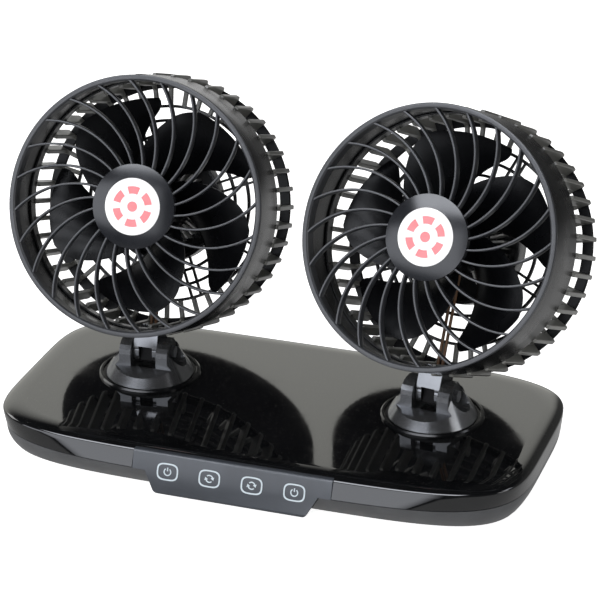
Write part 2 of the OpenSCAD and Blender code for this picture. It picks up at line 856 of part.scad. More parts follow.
module neck_cut() {
    // bore on the pin, the notch in the front and the lead hole
    rotate([0, 90, 0]) cylinder(r = pin_r + run_gap, h = 2*neck_w, center = true);
    translate([-neck_w*neck_notch_share/2, -2*knuckle_r, -2*knuckle_r])
        cube([neck_w*neck_notch_share, knuckle_r + neck_notch_d - 1, 2*knuckle_r + neck_notch_z]);
    translate([0, lead_hole_back, lead_hole_neck_z])
        cylinder(r = lead_hole_neck_r, h = axis_over_pin - fin_in_r);
}

module rear_cage(side) {
    color("#17191c") difference() {
        union() {
            head_frame(side) {
                tube(collar_r, collar_in_r, fin_start - collar_root, -band_d + collar_len);
                for (i = [0:fin_count - 1]) rotate(360*(i + 0.5)/fin_count) fin();
                tube(hoop_r, hoop_r - hoop_t, hoop_z0, hoop_z1);
                for (r = cage_ring_rs)
                    tube(r + cage_ring_t/2, r - cage_ring_t/2, rear_z + bar_step, rear_z + rear_bar - bar_step);
                for (i = [0:spoke_pairs - 1], s = [-1, 1]) rotate(360*(i + 0.5)/spoke_pairs)
                    translate([pot_r - 1, s*spoke_gap/2 - spoke_t/2, rear_z + 2*bar_step])
                        cube([fin_reach_r - pot_r + 1, spoke_t, rear_bar - 4*bar_step]);
                tube(pot_r, pot_r - pot_wall, rear_z, pot_z1);
                translate([0, 0, rear_z]) cylinder(r = pot_r, h = pot_floor_t);
            }
            pin_frame(side) neck_block();
        }
        pin_frame(side) neck_cut();
        head_frame(side) translate([-pot_notch_w/2, -pot_r - 1, pot_z1 - pot_d*0.6])
            cube([pot_notch_w, pot_wall + 3, pot_d]);
        head_frame(side) for (s = [-1, 1]) translate([s*motor_screw_x, 0, rear_z - 1])
            cylinder(r = motor_screw_r + 2*fit_gap, h = pot_floor_t + 2);
    }
}

// Motor

can_z0 = rear_z + pot_floor_t;
can_z1 = can_z0 + can_l;
can_wall = 0.8;
bush_out_r = 4;
bush_len = 3;
motor_screw_x = 8.5;
motor_screw_r = 1.1;
motor_screw_head_r = 2.4;
motor_screw_head_h = 1.4;
armature_r = 9;
air_gap = 0.5;
magnet_t = can_r - can_wall - fit_gap - armature_r - air_gap;
magnet_in = 1.5;
core_in = 2.5;
tooth_w = 3.2;
shoe_w = 12;
shoe_share = 0.72;
core_hub_share = 0.45;

module motor_can(side) {
    color("#9a9da1") head_frame(side) difference() {
        translate([0, 0, can_z0]) cylinder(r = can_r, h = can_l);
        translate([0, 0, can_z0 + can_wall*2]) cylinder(r = can_r - can_wall, h = can_l - can_wall*4);
        for (z = [can_z0 - 1, can_z1 - can_wall*2 - 1]) translate([0, 0, z])
            cylinder(r = bush_out_r + eps, h = can_wall*2 + 2);
        for (s = [-1, 1]) translate([s*motor_screw_x, 0, can_z0 - 1])
            cylinder(r = motor_screw_r, h = can_wall*2 + 2);
    }
}

module motor_bushes(side) {
    color("#b08d57") head_frame(side) {
        tube(bush_out_r, shaft_r + run_gap, can_z0, can_z0 + bush_len);
        tube(bush_out_r, shaft_r + run_gap, can_z1 - bush_len, can_z1);
    }
}

module motor_magnets(side) {
    color("#3b3b3d") head_frame(side) for (a = [10, 190]) rotate(a)
        translate([0, 0, can_z0 + can_wall*2 + magnet_in])
            arc(can_r - can_wall - fit_gap - magnet_t/2, magnet_t, 0, 160, can_l - can_wall*4 - 2*magnet_in);
}

module motor_screws(side) {
    color("#8f9296") head_frame(side) for (s = [-1, 1]) translate([s*motor_screw_x, 0, rear_z])
        screw(motor_screw_r, motor_screw_head_r, motor_screw_head_h, pot_floor_t + can_wall*2);
}

motor_lead_r = 0.8;
motor_lead_gap = 1.2;
lead_hole_back = 3.4;

// two leads from the can's side down into the neck
module motor_leads(side) {
    z = -ring_ahead - lead_hole_back;
    color("#6b4a33") head_frame(side) for (s = [-1, 1])
        rod([s*motor_lead_gap, -can_r, z], [s*motor_lead_gap, -fin_in_r - 4, z], motor_lead_r);
}

module armature(side) {
    core_l = can_l - can_wall*4 - 2*core_in;
    color("#7a4a2b") head_frame(side) rotate(phase(side)) difference() {
        translate([0, 0, can_z0 + can_wall*2 + core_in]) union() {
            cylinder(r = armature_r*core_hub_share, h = core_l);
            for (a = [0:120:240]) rotate(a) intersection() {
                cylinder(r = armature_r, h = core_l);
                union() {
                    translate([0, -tooth_w/2, 0]) cube([armature_r, tooth_w, core_l]);
                    translate([armature_r*shoe_share, -shoe_w/2, 0]) cube([armature_r, shoe_w, core_l]);
                }
            }
        }
        cylinder(r = shaft_r + eps, h = 4*head_d, center = true);
    }
}

// Impeller

blade_z = -32.5;
blade_rise = 8.5;
blade_tip_rise = 7.5;
blade_crown = 1.6;
blade_curl = 10;
blade_round_from = 0.8;
blade_round = 0.4;
blade_stations = 6;
blade_steps = 6;
boss_in_r = can_r + 2*part_gap;
blade_root_r = (boss_r + boss_in_r)/2;
boss_z0 = blade_z - blade_rise - 3;
boss_z1 = blade_z + blade_rise + 4.5;
boss_nose = 2.5;
nose_z = boss_z1 + 0.5;
sleeve_wall = 2.5;
sleeve_z0 = can_z1 + 1.5;
nut_flat_r = 3.4;
nut_h = 2.6;
shaft_over_nut = 0.5;

// one closed section of a blade at share u of its span
function blade_section(u) =
    let (r = blade_root_r + u*(blade_r - blade_root_r),
         past = max(u - blade_round_from, 0)/(1 - blade_round_from),
         half = (blade_half + u*(blade_tip_half - blade_half))*sqrt(1 - blade_round*past*past),
         lean = blade_curl*u*u - (blade_sweep + blade_curl)*u,
         rise = blade_rise + u*(blade_tip_rise - blade_rise))
    concat(
        [for (j = [0:blade_steps]) blade_point(r, half, lean, rise, 2*j/blade_steps - 1, -blade_t/2)],
        [for (j = [blade_steps:-1:0]) blade_point(r, half, lean, rise, 2*j/blade_steps - 1, blade_t/2)]);

function blade_point(r, half, lean, rise, v, off) =
    let (a = lean + half*v, thin = off*(1.05 - 0.55*v*v))
    [r*cos(a), r*sin(a), blade_z + rise*v + blade_crown*(1 - v*v) + thin];

module impeller(side) {
    color("#101114") head_frame(side) rotate(phase(side)) difference() {
        union() {
            for (i = [0:blade_count - 1]) rotate(360*i/blade_count)
                skin([for (k = [0:blade_stations - 1]) blade_section(k/(blade_stations - 1))], true);
            rotate_extrude() polygon([
                [boss_in_r, boss_z0],
                [boss_r, boss_z0],
                [boss_r, nose_z - boss_nose],
                [boss_r - boss_nose, nose_z],
                [0, nose_z],
                [0, sleeve_z0],
                [shaft_r + sleeve_wall, sleeve_z0],
                [shaft_r + sleeve_wall, nose_z - boss_nose],
                [boss_in_r, nose_z - boss_nose]]);
        }
        translate([0, 0, sleeve_z0 - 1]) cylinder(r = shaft_r + eps, h = head_d);
    }
}

module impeller_nut(side) {
    color("#8f9296") head_frame(side) rotate(phase(side)) difference() {
        translate([0, 0, nose_z]) cylinder(r = nut_flat_r, h = nut_h, $fn = 6);
        translate([0, 0, boss_z1]) cylinder(r = shaft_r + eps, h = 2*nut_h);
    }
}

module motor_shaft(side) {
    color("#b9bcc0") head_frame(side) translate([0, 0, can_z0 + part_gap])
        cylinder(r = shaft_r, h = nose_z + nut_h + shaft_over_nut - can_z0 - part_gap);
}

base_top();
base_bottom();
base_screws();
grip_pad();
cord_gland();
control_panel();
key_icons();
touch_board();
board_screws();
touch_springs();
base_leads();
seat_ring(left);  // seat_ring_left
turret(left);  // turret_left
swivel_retainer(left);  // swivel_retainer_left
retainer_screws(left);  // retainer_screws_left
tilt_pin(left);  // tilt_pin_left
tilt_nut(left);  // tilt_nut_left
front_grille(left);  // front_grille_left
hub_cap(left);  // hub_cap_left
hub_badge(left);  // hub_badge_left
badge_print(left);  // badge_print_left
band(left);  // band_left
rear_cage(left);  // rear_cage_left
motor_can(left);  // motor_can_left
motor_bushes(left);  // motor_bushes_left
motor_magnets(left);  // motor_magnets_left
motor_screws(left);  // motor_screws_left
motor_leads(left);  // motor_leads_left
armature(left);  // armature_left
motor_shaft(left);  // motor_shaft_left
impeller(left);  // impeller_left
impeller_nut(left);  // impeller_nut_left
seat_ring(right);  // seat_ring_right
turret(right);  // turret_right
swivel_retainer(right);  // swivel_retainer_right
retainer_screws(right);  // retainer_screws_right
tilt_pin(right);  // tilt_pin_right
tilt_nut(right);  // tilt_nut_right
front_grille(right);  // front_grille_right
hub_cap(right);  // hub_cap_right
hub_badge(right);  // hub_badge_right
badge_print(right);  // badge_print_right
band(right);  // band_right
rear_cage(right);  // rear_cage_right
motor_can(right);  // motor_can_right
motor_bushes(right);  // motor_bushes_right
motor_magnets(right);  // motor_magnets_right
motor_screws(right);  // motor_screws_right
motor_leads(right);  // motor_leads_right
armature(right);  // armature_right
motor_shaft(right);  // motor_shaft_right
impeller(right);  // impeller_right
impeller_nut(right);  // impeller_nut_right
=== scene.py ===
import json
import math
import bmesh
import bpy
from mathutils import Matrix, Vector
from mathutils.geometry import delaunay_2d_cdt


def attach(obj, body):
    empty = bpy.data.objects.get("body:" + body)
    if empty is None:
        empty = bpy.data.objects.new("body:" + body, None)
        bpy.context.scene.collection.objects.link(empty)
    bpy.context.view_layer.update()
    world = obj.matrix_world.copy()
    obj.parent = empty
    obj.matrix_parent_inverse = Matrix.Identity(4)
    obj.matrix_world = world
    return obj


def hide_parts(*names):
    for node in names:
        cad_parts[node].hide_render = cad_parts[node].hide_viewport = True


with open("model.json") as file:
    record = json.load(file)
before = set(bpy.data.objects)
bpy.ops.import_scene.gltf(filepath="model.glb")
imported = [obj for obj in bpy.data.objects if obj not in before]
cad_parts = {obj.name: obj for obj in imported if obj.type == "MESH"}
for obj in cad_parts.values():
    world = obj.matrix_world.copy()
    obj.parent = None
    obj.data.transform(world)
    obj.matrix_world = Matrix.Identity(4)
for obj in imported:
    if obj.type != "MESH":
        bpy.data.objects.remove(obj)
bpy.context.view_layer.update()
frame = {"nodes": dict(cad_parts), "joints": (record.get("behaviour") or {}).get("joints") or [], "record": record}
print("frame loaded:", len(frame["nodes"]), "nodes")

mm = 0.001
sides = ("left", "right")
scene = bpy.context.scene


def evenly(start, end, count):
    # numbers from start to end in equal steps, ends included
    return [start + (end - start)*i/count for i in range(count + 1)]


def circle(x, y, radius, count):
    turns = [2*math.pi*i/count for i in range(count)]
    return [(x + radius*math.cos(t), y + radius*math.sin(t)) for t in turns]


def arcPoints(centre, radius, start, end, count, tall=None):
    # corner points on an arc, degrees, ends included; tall is the other half axis of an oval
    tall = radius if tall is None else tall
    turns = [math.radians(t) for t in evenly(start, end, count)]
    return [(centre[0] + radius*math.cos(t), centre[1] + tall*math.sin(t)) for t in turns]


def linked(name, data):
    made = bpy.data.objects.new(name, data)
    scene.collection.objects.link(made)
    return made


def meshOf(name, points, faces):
    mesh = bpy.data.meshes.new(name)
    mesh.from_pydata(points, [], faces)
    return mesh


def aimed(thing, origin, target):
    # stands the camera, a lamp or a pane at origin, facing target
    thing.location = origin
    thing.rotation_euler = (Vector(target) - Vector(origin)).to_track_quat("-Z", "Y").to_euler()


# Camera at the photograph's place; from and to in millimetres

cameraView = {
    "from": (398.8, -1151.7, 640.7),
    "to": (9.3, -1.0, 81.3),
    "lens": 162.5,
    "sensor": 36,
    "clipEnd": 20,
}
camera = linked("photoCamera", bpy.data.cameras.new("photoCamera"))
aimed(camera, Vector(cameraView["from"])*mm, Vector(cameraView["to"])*mm)
camera.data.lens = cameraView["lens"]
camera.data.sensor_width = cameraView["sensor"]
camera.data.clip_end = cameraView["clipEnd"]
scene.camera = camera
scene.view_settings.view_transform = "Standard"


# Shader building: Tap wraps a socket so that plain arithmetic adds Math nodes

class Tap:
    def __init__(self, finish, socket):
        self.finish = finish
        self.socket = socket

    def named(self, name):
        return Tap(self.finish, self.socket.node.outputs[name])

    def calc(self, operation, first, second=0.0):
        return self.finish.add("ShaderNodeMath", {"operation": operation}, {0: first, 1: second})

    def __add__(self, other):
        return self.calc("ADD", self, other)

    def __sub__(self, other):
        return self.calc("SUBTRACT", self, other)

    def __rsub__(self, other):
        return self.calc("SUBTRACT", other, self)

    def __mul__(self, other):
        return self.calc("MULTIPLY", self, other)

    __radd__ = __add__
    __rmul__ = __mul__

    def between(self, low, high):
        # 0 below low, 1 above high, smooth in between
        return self.finish.add("ShaderNodeMapRange", {"interpolation_type": "SMOOTHSTEP"},
                               {"Value": self, "From Min": low, "From Max": high})


class Finish:
    # one material or world being built; add makes any node
    def __init__(self, name, owner=None):
        if owner is None:
            owner = bpy.data.materials.new(name)
            owner.use_nodes = True
        self.owner = owner
        self.tree = owner.node_tree
        self.tree.nodes.clear()

    def add(self, kind, settings=None, inputs=None):
        made = self.tree.nodes.new(kind)
        for key, value in (settings or {}).items():
            setattr(made, key, value)
        for key, value in (inputs or {}).items():
            if isinstance(value, Tap):
                self.tree.links.new(value.socket, made.inputs[key])
            elif isinstance(value, tuple) and len(value) == 3 and len(made.inputs[key].default_value) == 4:
                made.inputs[key].default_value = (*value, 1.0)
            else:
                made.inputs[key].default_value = value
        return Tap(self, next(s for s in made.outputs if s.enabled))

    def place(self):
        return self.add("ShaderNodeTexCoord").named("Object")

    def apart(self, vector):
        return self.add("ShaderNodeSeparateXYZ", None, {0: vector})

    def noise(self, where, scale, detail=2.0, roughness=0.5):
        return self.add("ShaderNodeTexNoise", None,
                        {"Vector": where, "Scale": scale, "Detail": detail, "Roughness": roughness})

    def stretched(self, where, factors):
        return self.add("ShaderNodeVectorMath", {"operation": "MULTIPLY"}, {0: where, 1: factors})

    def blend(self, share, first, second):
        # a Mix node's colour comes out of its third socket
        mixed = self.add("ShaderNodeMix", {"data_type": "RGBA"}, {0: share, 6: first, 7: second})
        return Tap(self, mixed.socket.node.outputs[2])

    def bump(self, height, depth):
        return self.add("ShaderNodeBump", None, {"Height": height, "Strength": 1.0, "Distance": depth})

    def glow(self, colour, strength, kind="ShaderNodeEmission"):
        return self.add(kind, None, {"Color": colour, "Strength": strength})

    def either(self, share, first, second):
        return self.add("ShaderNodeMixShader", None, {0: share, 1: first, 2: second})

    def surface(self, **inputs):
        named = {key.replace("_", " "): value for key, value in inputs.items()}
        return self.close(self.add("ShaderNodeBsdfPrincipled", None, named))

    def close(self, shader, kind="ShaderNodeOutputMaterial"):
        self.tree.links.new(shader.socket, self.tree.nodes.new(kind).inputs["Surface"])
        return self.owner


# Studio, metres: pale floor, a pale screen low behind the object, dark elsewhere, three soft boxes,
# three soft panes and two dark flags

studio = {
    "floorSize": 6.0,
    "screenColour": (1.10, 1.10, 1.03),
    "screenRear": (0.05, 0.45),  # where the screen fades in and out, by direction
    "screenTop": (0.42, 0.68),
    "screenFoot": (-0.02, 0.10),
    "screenRight": (-0.14, 0.04),
    "rightDim": 0.92,
    "room": 0.08,
    "ceiling": 0.02,
    "ceilingFrom": (0.45, 0.75),
    "softLight": 0.42,
    "paperColour": (0.86, 0.86, 0.86),
    "paperGlow": 0.16,
    "paperWhite": 0.70,
    "fibre": 0.01,
    "fibreScale": 40.0,
    "nearGlow": 0.42,  # what gloss mirrors of the floor: near the object, far left behind it, elsewhere
    "nearReach": (0.32, 0.60),
    "farGlow": 0.95,
    "farLeft": (-0.35, 0.05),
    "farBehind": (0.2, 0.6),
    "dimGlow": 0.04,
    "feltColour": (0.01, 0.01, 0.011),
    "feltScale": 400.0,
    "paneTint": (0.95, 0.98, 1.05),
    "boxes": [
        # name, from, aimed at, width, height, power, whether gloss mirrors it
        ("frontBox", (-0.9, -2.0, 0.95), (0, 0, 0.08), 6.4, 1.5, 84.0, False),
        ("rightBox", (2.0, -0.3, 0.75), (0, 0, 0.10), 0.8, 0.9, 5.0, True),
        ("leftBox", (-1.9, 0.2, 1.0), (0, 0, 0.08), 0.8, 0.7, 6.0, True),
    ],
    "panes": [
        # name, middle, aimed at, width, height, soft edge, glow; only mirrored rays see them
        ("frontPane", (-1.9, -2.1, 0.80), (-1.9, 0, 0.80), 4.7, 1.94, 0.40, 2.5),
        ("topPane", (-0.7, -1.6, 2.40), (-0.7, -1.6, 0), 3.0, 1.5, 0.25, 7.0),
        ("sidePane", (2.2, 0.45, 1.75), (0, 0, 0.05), 1.1, 1.1, 0.25, 3.0),
    ],
    "flagY": 350.0,
    "flagSteps": 32,
    "flags": [
        # name, middle x, half width, middle z, drop below it, top z, all in millimetres; they darken
        # what the deck mirrors
        ("darkFlag1", -190.0, 90.0, 245.0, 60.0, 300.0),
        ("darkFlag2", -20.0, 67.0, 235.0, 48.0, 300.0),
    ],
}
white = (1.0, 1.0, 1.0)


def grey(level):
    return (level, level, level)


def flatSheet(name, halfWide, halfDeep):
    corners = [(-halfWide, -halfDeep, 0), (halfWide, -halfDeep, 0), (halfWide, halfDeep, 0),
               (-halfWide, halfDeep, 0)]
    return meshOf(name, corners, [(0, 1, 2, 3)])


def softBox(name, origin, target, width, height, power, mirrored):
    light = bpy.data.lights.new(name, "AREA")
    light.shape = "RECTANGLE"
    light.size = width
    light.size_y = height
    light.energy = power
    lamp = linked(name, light)
    lamp.visible_glossy = mirrored
    aimed(lamp, origin, target)


def buildWorld():
    # mirrored rays see the screen and the dark room, diffuse rays an even light, the camera white
    world = bpy.data.worlds.new("studio")
    scene.world = world
    world.use_nodes = True
    sky = Finish("studio", world)
    direction = sky.apart(sky.add("ShaderNodeTexCoord").named("Generated"))
    upward, rearward, sideward = direction.named("Z"), direction.named("Y"), direction.named("X")
    screen = rearward.between(*studio["screenRear"])*(1 - upward.between(*studio["screenTop"]))
    screen = screen*upward.between(*studio["screenFoot"])
    screen = screen*(1 - sideward.between(*studio["screenRight"])*studio["rightDim"])
    room = sky.blend(upward.between(*studio["ceilingFrom"]), grey(studio["room"]), grey(studio["ceiling"]))
    around = sky.blend(screen, room, studio["screenColour"])
    rays = sky.add("ShaderNodeLightPath")
    around = sky.blend(rays.named("Is Diffuse Ray"), around, grey(studio["softLight"]))
    lit = sky.glow(around, 1.0, "ShaderNodeBackground")
    plain = sky.glow(white, 1.0, "ShaderNodeBackground")
    sky.close(sky.either(rays.named("Is Camera Ray"), lit, plain), "ShaderNodeOutputWorld")


def buildFloor():
    # pale paper that keeps the shadow; what mirrored rays see of it depends on the place
    half = studio["floorSize"]/2
    studioFloor = linked("studioFloor", flatSheet("studioFloor", half, half))
    paper = Finish("palePaper")
    rays = paper.add("ShaderNodeLightPath")
    seenThrough = rays.named("Is Transmission Ray")*studio["paperGlow"]
    whiteness = rays.named("Is Camera Ray")*(studio["paperGlow"] + studio["paperWhite"]) + seenThrough
    fibre = paper.noise(paper.place(), studio["fibreScale"], 3.0)*studio["fibre"]
    matte = paper.add("ShaderNodeBsdfDiffuse", None, {"Color": studio["paperColour"]})
    sheetOfPaper = paper.add("ShaderNodeAddShader", None, {0: matte, 1: paper.glow(white, whiteness + fibre)})
    spot = paper.apart(paper.place())
    distance = paper.add("ShaderNodeVectorMath", {"operation": "LENGTH"}, {0: paper.place()})
    nearby = 1 - distance.between(*studio["nearReach"])
    leftRear = (1 - spot.named("X").between(*studio["farLeft"]))*spot.named("Y").between(*studio["farBehind"])
    inGloss = nearby*studio["nearGlow"] + leftRear*studio["farGlow"] + studio["dimGlow"]
    shown = paper.either(rays.named("Is Glossy Ray"), sheetOfPaper, paper.glow(white, inGloss))
    studioFloor.data.materials.append(paper.close(shown))


def onlyMirrored(card):
    card.visible_camera = card.visible_diffuse = False
    card.visible_transmission = card.visible_shadow = False


def darkFlag(name, middle, wide, level, drop, top):
    # a card of black felt with a rounded foot
    foot = arcPoints((middle, level), wide, 180, 360, studio["flagSteps"], drop)
    rim = [(middle - wide, top)] + foot + [(middle + wide, top)]
    card = meshOf(name, [(x*mm, studio["flagY"]*mm, z*mm) for x, z in rim], [range(len(rim))])
    card.materials.append(blackFelt)
    flag = linked(name, card)
    onlyMirrored(flag)


def softPane(name, middle, target, width, height, fade, glow):
    # a glowing pane with soft edges
    w, h = width/2, height/2
    sheet = flatSheet(name, w, h)
    f = Finish(name)
    where = f.apart(f.place())
    x, y = where.named("X"), where.named("Y")
    across = x.between(-w, fade - w)*(1 - x.between(w - fade, w))
    strength = across*y.between(-h, fade - h)*(1 - y.between(h - fade, h))
    sheet.materials.append(f.close(f.glow(studio["paneTint"], strength*glow)))
    pane = linked(name, sheet)
    aimed(pane, middle, target)
    onlyMirrored(pane)


felt = Finish("blackFelt")
nap = felt.noise(felt.place(), studio["feltScale"], 3.0)
blackFelt = felt.close(felt.add("ShaderNodeBsdfDiffuse", None,
                                {"Color": studio["feltColour"], "Roughness": nap}))

for box in studio["boxes"]:
    softBox(*box)
buildWorld()
buildFloor()
for flagShape in studio["flags"]:
    darkFlag(*flagShape)
for paneShape in studio["panes"]:
    softPane(*paneShape)
print("studio ready")


# Finishes

moulded = {
    "toneScale": 60.0, "toneSpan": (0.3, 0.7), "toneLift": 0.001,
    "smearScale": 26.0, "smearStretch": (1.0, 1.6, 0.8), "smearSpan": (0.48, 0.68),
    "speckScale": 1900.0, "speckSpan": (0.70, 0.76), "dustFacing": (0.7, 1.0),
    "dustColour": (0.30, 0.29, 0.27), "dustRough": 0.4, "coatRough": 0.05,
}
drawn = {
    "scale": 420.0, "tone": 0.2, "wear": 0.15, "rough": 0.14, "dark": 0.45, "depth": 0.00001,
    "dullScale": 180.0, "dullSpan": (0.45, 0.7), "dullRough": 0.12,
}
inked = {
    "holeScale": 3200.0, "holeSpan": (0.58, 0.72), "holeDark": 0.6,
    "toneScale": 240.0, "toneSpan": (0.35, 0.65), "toneDark": 0.93, "toneRough": 0.08, "depth": 0.000008,
}


def shaded(colour, share):
    return tuple(c*share for c in colour)


def plastic(name, colour, roughness, grain=0.00001, grainScale=2600.0, mottle=0.12, smudge=0.05, specular=0.5,
            coat=0.0, dust=0.0, metallic=0.0):
    # moulded plastic: fine grain, uneven tone, finger smudges and a little dust on top faces
    f = Finish(name)
    where = f.place()
    lighter = tuple(c*(1 + mottle) + moulded["toneLift"] for c in colour)
    tone = f.noise(where, moulded["toneScale"], 3.0).between(*moulded["toneSpan"])
    base = f.blend(tone, shaded(colour, 1 - mottle), lighter)
    smear = f.noise(f.stretched(where, moulded["smearStretch"]), moulded["smearScale"], 4.0, 0.6)
    rough = smear.between(*moulded["smearSpan"])*smudge + roughness
    if dust > 0:
        facing = f.apart(f.add("ShaderNodeNewGeometry").named("Normal")).named("Z")
        specks = f.noise(where, moulded["speckScale"], 1.0).between(*moulded["speckSpan"])
        dusty = facing.between(*moulded["dustFacing"])*specks*dust
        base = f.blend(dusty, base, moulded["dustColour"])
        rough = rough + dusty*moulded["dustRough"]
    fine = f.noise(where, grainScale, 2.0)
    return f.surface(Base_Color=base, Roughness=rough, Specular_IOR_Level=specular, Coat_Weight=coat,
                     Coat_Roughness=moulded["coatRough"], Metallic=metallic, Normal=f.bump(fine, grain))


def metal(name, colour, roughness, lines=(1.0, 1.0, 14.0)):
    # turned or plated metal: fine drawn lines, close along the axis with the large factor, and dull patches
    f = Finish(name)
    where = f.place()
    streaks = f.noise(f.stretched(where, lines), drawn["scale"], 4.0, 0.65)
    dull = f.noise(where, drawn["dullScale"], 3.0).between(*drawn["dullSpan"])
    base = f.blend(dull*drawn["wear"] + streaks*drawn["tone"], colour, shaded(colour, drawn["dark"]))
    rough = streaks*drawn["rough"] + dull*drawn["dullRough"] + roughness
    return f.surface(Base_Color=base, Metallic=1.0, Roughness=rough, Normal=f.bump(streaks, drawn["depth"]))


def printed(name, colour, roughness, speckle):
    # screen print: flat ink with pinholes and a slightly uneven tone
    f = Finish(name)
    where = f.place()
    holes = f.noise(where, inked["holeScale"], 2.0).between(*inked["holeSpan"])
    tone = f.noise(where, inked["toneScale"], 2.0).between(*inked["toneSpan"])
    ink = f.blend(tone, colour, shaded(colour, inked["toneDark"]))
    return f.surface(Base_Color=f.blend(holes*speckle, ink, shaded(colour, inked["holeDark"])),
                     Roughness=tone*inked["toneRough"] + roughness, Normal=f.bump(tone, inked["depth"]))


# plastic: name, colour, roughness, grain depth in metres, grain scale, mottle, smudge, specular
# metal: name, colour, roughness, stretch of its lines; printed: name, colour, roughness, speckle
finishes = {
    "deck_gloss": plastic("pianoGloss", (0.0035, 0.0038, 0.0045), 0.025, 0.0000015, 500.0, 0.10, 0.03, 0.62,
                          coat=0.35, dust=0.25),
    "shell_satin": plastic("shellSatin", (0.055, 0.057, 0.061), 0.34, 0.00001, 2600.0, 0.12, 0.08, 0.7),
    "panel_satin": plastic("panelSatin", (0.033, 0.038, 0.047), 0.34, 0.000014, 3000.0, 0.10, 0.08, 0.6),
    "icon_print": printed("keyPrint", (0.52, 0.59, 0.64), 0.45, 0.3),
    "pad_rubber": plastic("padRubber", (0.016, 0.016, 0.017), 0.75, 0.00004, 1500.0, 0.2, 0.1, 0.3),
    "gland_rubber": plastic("glandRubber", (0.012, 0.012, 0.013), 0.62, 0.00003, 1800.0, 0.2, 0.1, 0.35),
    "screw_steel": metal("screwSteel", (0.52, 0.53, 0.55), 0.26),
    "board_green": plastic("boardGreen", (0.010, 0.085, 0.030), 0.32, 0.00001, 1400.0, 0.25, 0.1),
    "spring_brass": metal("springBrass", (0.62, 0.47, 0.24), 0.28),
    "lead_brown": plastic("leadBrown", (0.16, 0.085, 0.045), 0.42, 0.00001, 1600.0, 0.25, 0.1),
    "turret_satin": plastic("turretSatin", (0.19, 0.195, 0.205), 0.16, 0.000004, 2200.0, 0.12, 0.08, 0.7,
                            metallic=0.85),
    "grille_satin": plastic("grilleSatin", (0.034, 0.036, 0.041), 0.33, 0.00001, 2600.0, 0.12, 0.06, 0.6),
    "cap_gloss": plastic("capGloss", (0.008, 0.009, 0.012), 0.18, 0.000004, 1800.0, 0.12, 0.04, 0.6),
    "badge_white": printed("badgeWhite", (0.93, 0.93, 0.93), 0.22, 0.02),
    "badge_coral": printed("badgeCoral", (0.86, 0.215, 0.24), 0.40, 0.12),
    "housing_satin": plastic("housingSatin", (0.010, 0.0103, 0.011), 0.24, 0.000006, 2200.0, 0.12, 0.08, 0.6),
    "motor_steel": metal("motorSteel", (0.55, 0.55, 0.56), 0.30),
    "magnet_dark": plastic("magnetFerrite", (0.03, 0.03, 0.032), 0.55, 0.00003, 1500.0, 0.2, 0.1),
    "winding_copper": metal("windingCopper", (0.50, 0.24, 0.12), 0.35, (1.0, 14.0, 1.0)),
    "blade_black": plastic("bladeBlack", (0.0028, 0.0030, 0.0038), 0.26, 0.000003, 1500.0, 0.12, 0.06, 0.16),
}

# finishes that some pieces wear in place of their slot's own
extraFinishes = {
    # lighter copy of the housing plastic for the fins: painted sheen standing in for the light their rounded edges
    # catch
    "finPaintedSheen": plastic("finPaintedSheen", (0.150, 0.150, 0.140), 0.28, 0.00001, 2200.0, 0.12, 0.08, 0.62),
    # darker, duller copy of the housing plastic for the flat rim: painted shade of the recessed rim
    "rimPaintedShade": plastic("rimPaintedShade", (0.004, 0.0042, 0.0048), 0.20, 0.000003, 1600.0, 0.12, 0.05, 0.12),
    "turretSatin": finishes["turret_satin"],
    "combGrey": plastic("combGrey", (0.50, 0.50, 0.49), 0.35, 0.00001, 2200.0, 0.12, 0.08, 0.6),
    "seatGloss": plastic("seatGloss", (0.004, 0.0042, 0.0048), 0.12, 0.000003, 1600.0, 0.12, 0.05, 0.35),
    "notchShade": plastic("notchShade", (0.004, 0.004, 0.0045), 0.5, 0.000003, 1600.0, 0.12, 0.05, 0.1),
}

slotOf = {row["node"]: row["material_slot"] for row in frame["record"]["subparts"]}
for nodeName, nodeObject in frame["nodes"].items():
    nodeObject.data.materials.clear()
    seat = nodeName.startswith("seat_ring")
    nodeObject.data.materials.append(extraFinishes["seatGloss"] if seat else finishes[slotOf[nodeName]])
print("finishes:", len(finishes) + len(extraFinishes))


# Frames of the moving pieces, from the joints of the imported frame; millimetres from here on

jointOf = {row["name"]: row for row in frame["joints"]}
base = {
    "w": 274, "d": 140, "h": 24, "square": 5, "belly": 3.5, "bellySquare": 4.2,
    "parting": 14, "gap": 0.6, "edgeW": 10, "edgeH": 2.8, "foot": 2.5, "footInset": 5, "wall": 2.2,
}
head = {
    "ringR": 65, "face": 2.3, "bandD": 31, "flare": 0.5, "wall": 1.8, "depth": 62,
    "overPin": 74.5, "ahead": 48.5, "count": 160,
}
alongX = Matrix(((0, 0, 1, 0), (1, 0, 0, 0), (0, 1, 0, 0), (0, 0, 0, 1)))
alongY = Matrix(((1, 0, 0, 0), (0, 0, -1, 0), (0, 1, 0, 0), (0, 0, 0, 1)))


def axes(origin, x, y, z):
    # frame with its origin and its three axes
    return Matrix.Translation(origin) @ Matrix((x, y, z)).transposed().to_4x4()


def headFrame(side):
    # z = 0 at the front ring, +z out of the front, +y up
    tilt = jointOf[side + "_tilt"]
    x = -Vector(tilt["axis"]).normalized()
    z = Vector(jointOf[side + "_spin"]["axis"]).normalized()
    y = z.cross(x)
    return axes(Vector(tilt["pos_m"])/mm + z*head["ahead"] + y*head["overPin"], x, y, z)


def pinFrame(side):
    # at the tilt pin, +z up along the neck, +y to the rear
    place = headFrame(side)
    x, y, z = (place.to_3x3().col[i] for i in range(3))
    return axes(Vector(jointOf[side + "_tilt"]["pos_m"])/mm, x, -z, y)


def turned(i, count, start=0.0):
    # turn of the i-th of count pieces, each half a step past the start
    return Matrix.Rotation(start + 2*math.pi*(i + 0.5)/count, 4, "Z")


def ringFaces(rings, count, skipped=None):
    # faces between neighbouring rings of count points, without the skipped ones
    return [(k*count + i, k*count + (i + 1) % count, (k + 1)*count + (i + 1) % count, (k + 1)*count + i)
            for k in range(rings - 1) for i in range(count) if not (skipped and skipped(k, i))]


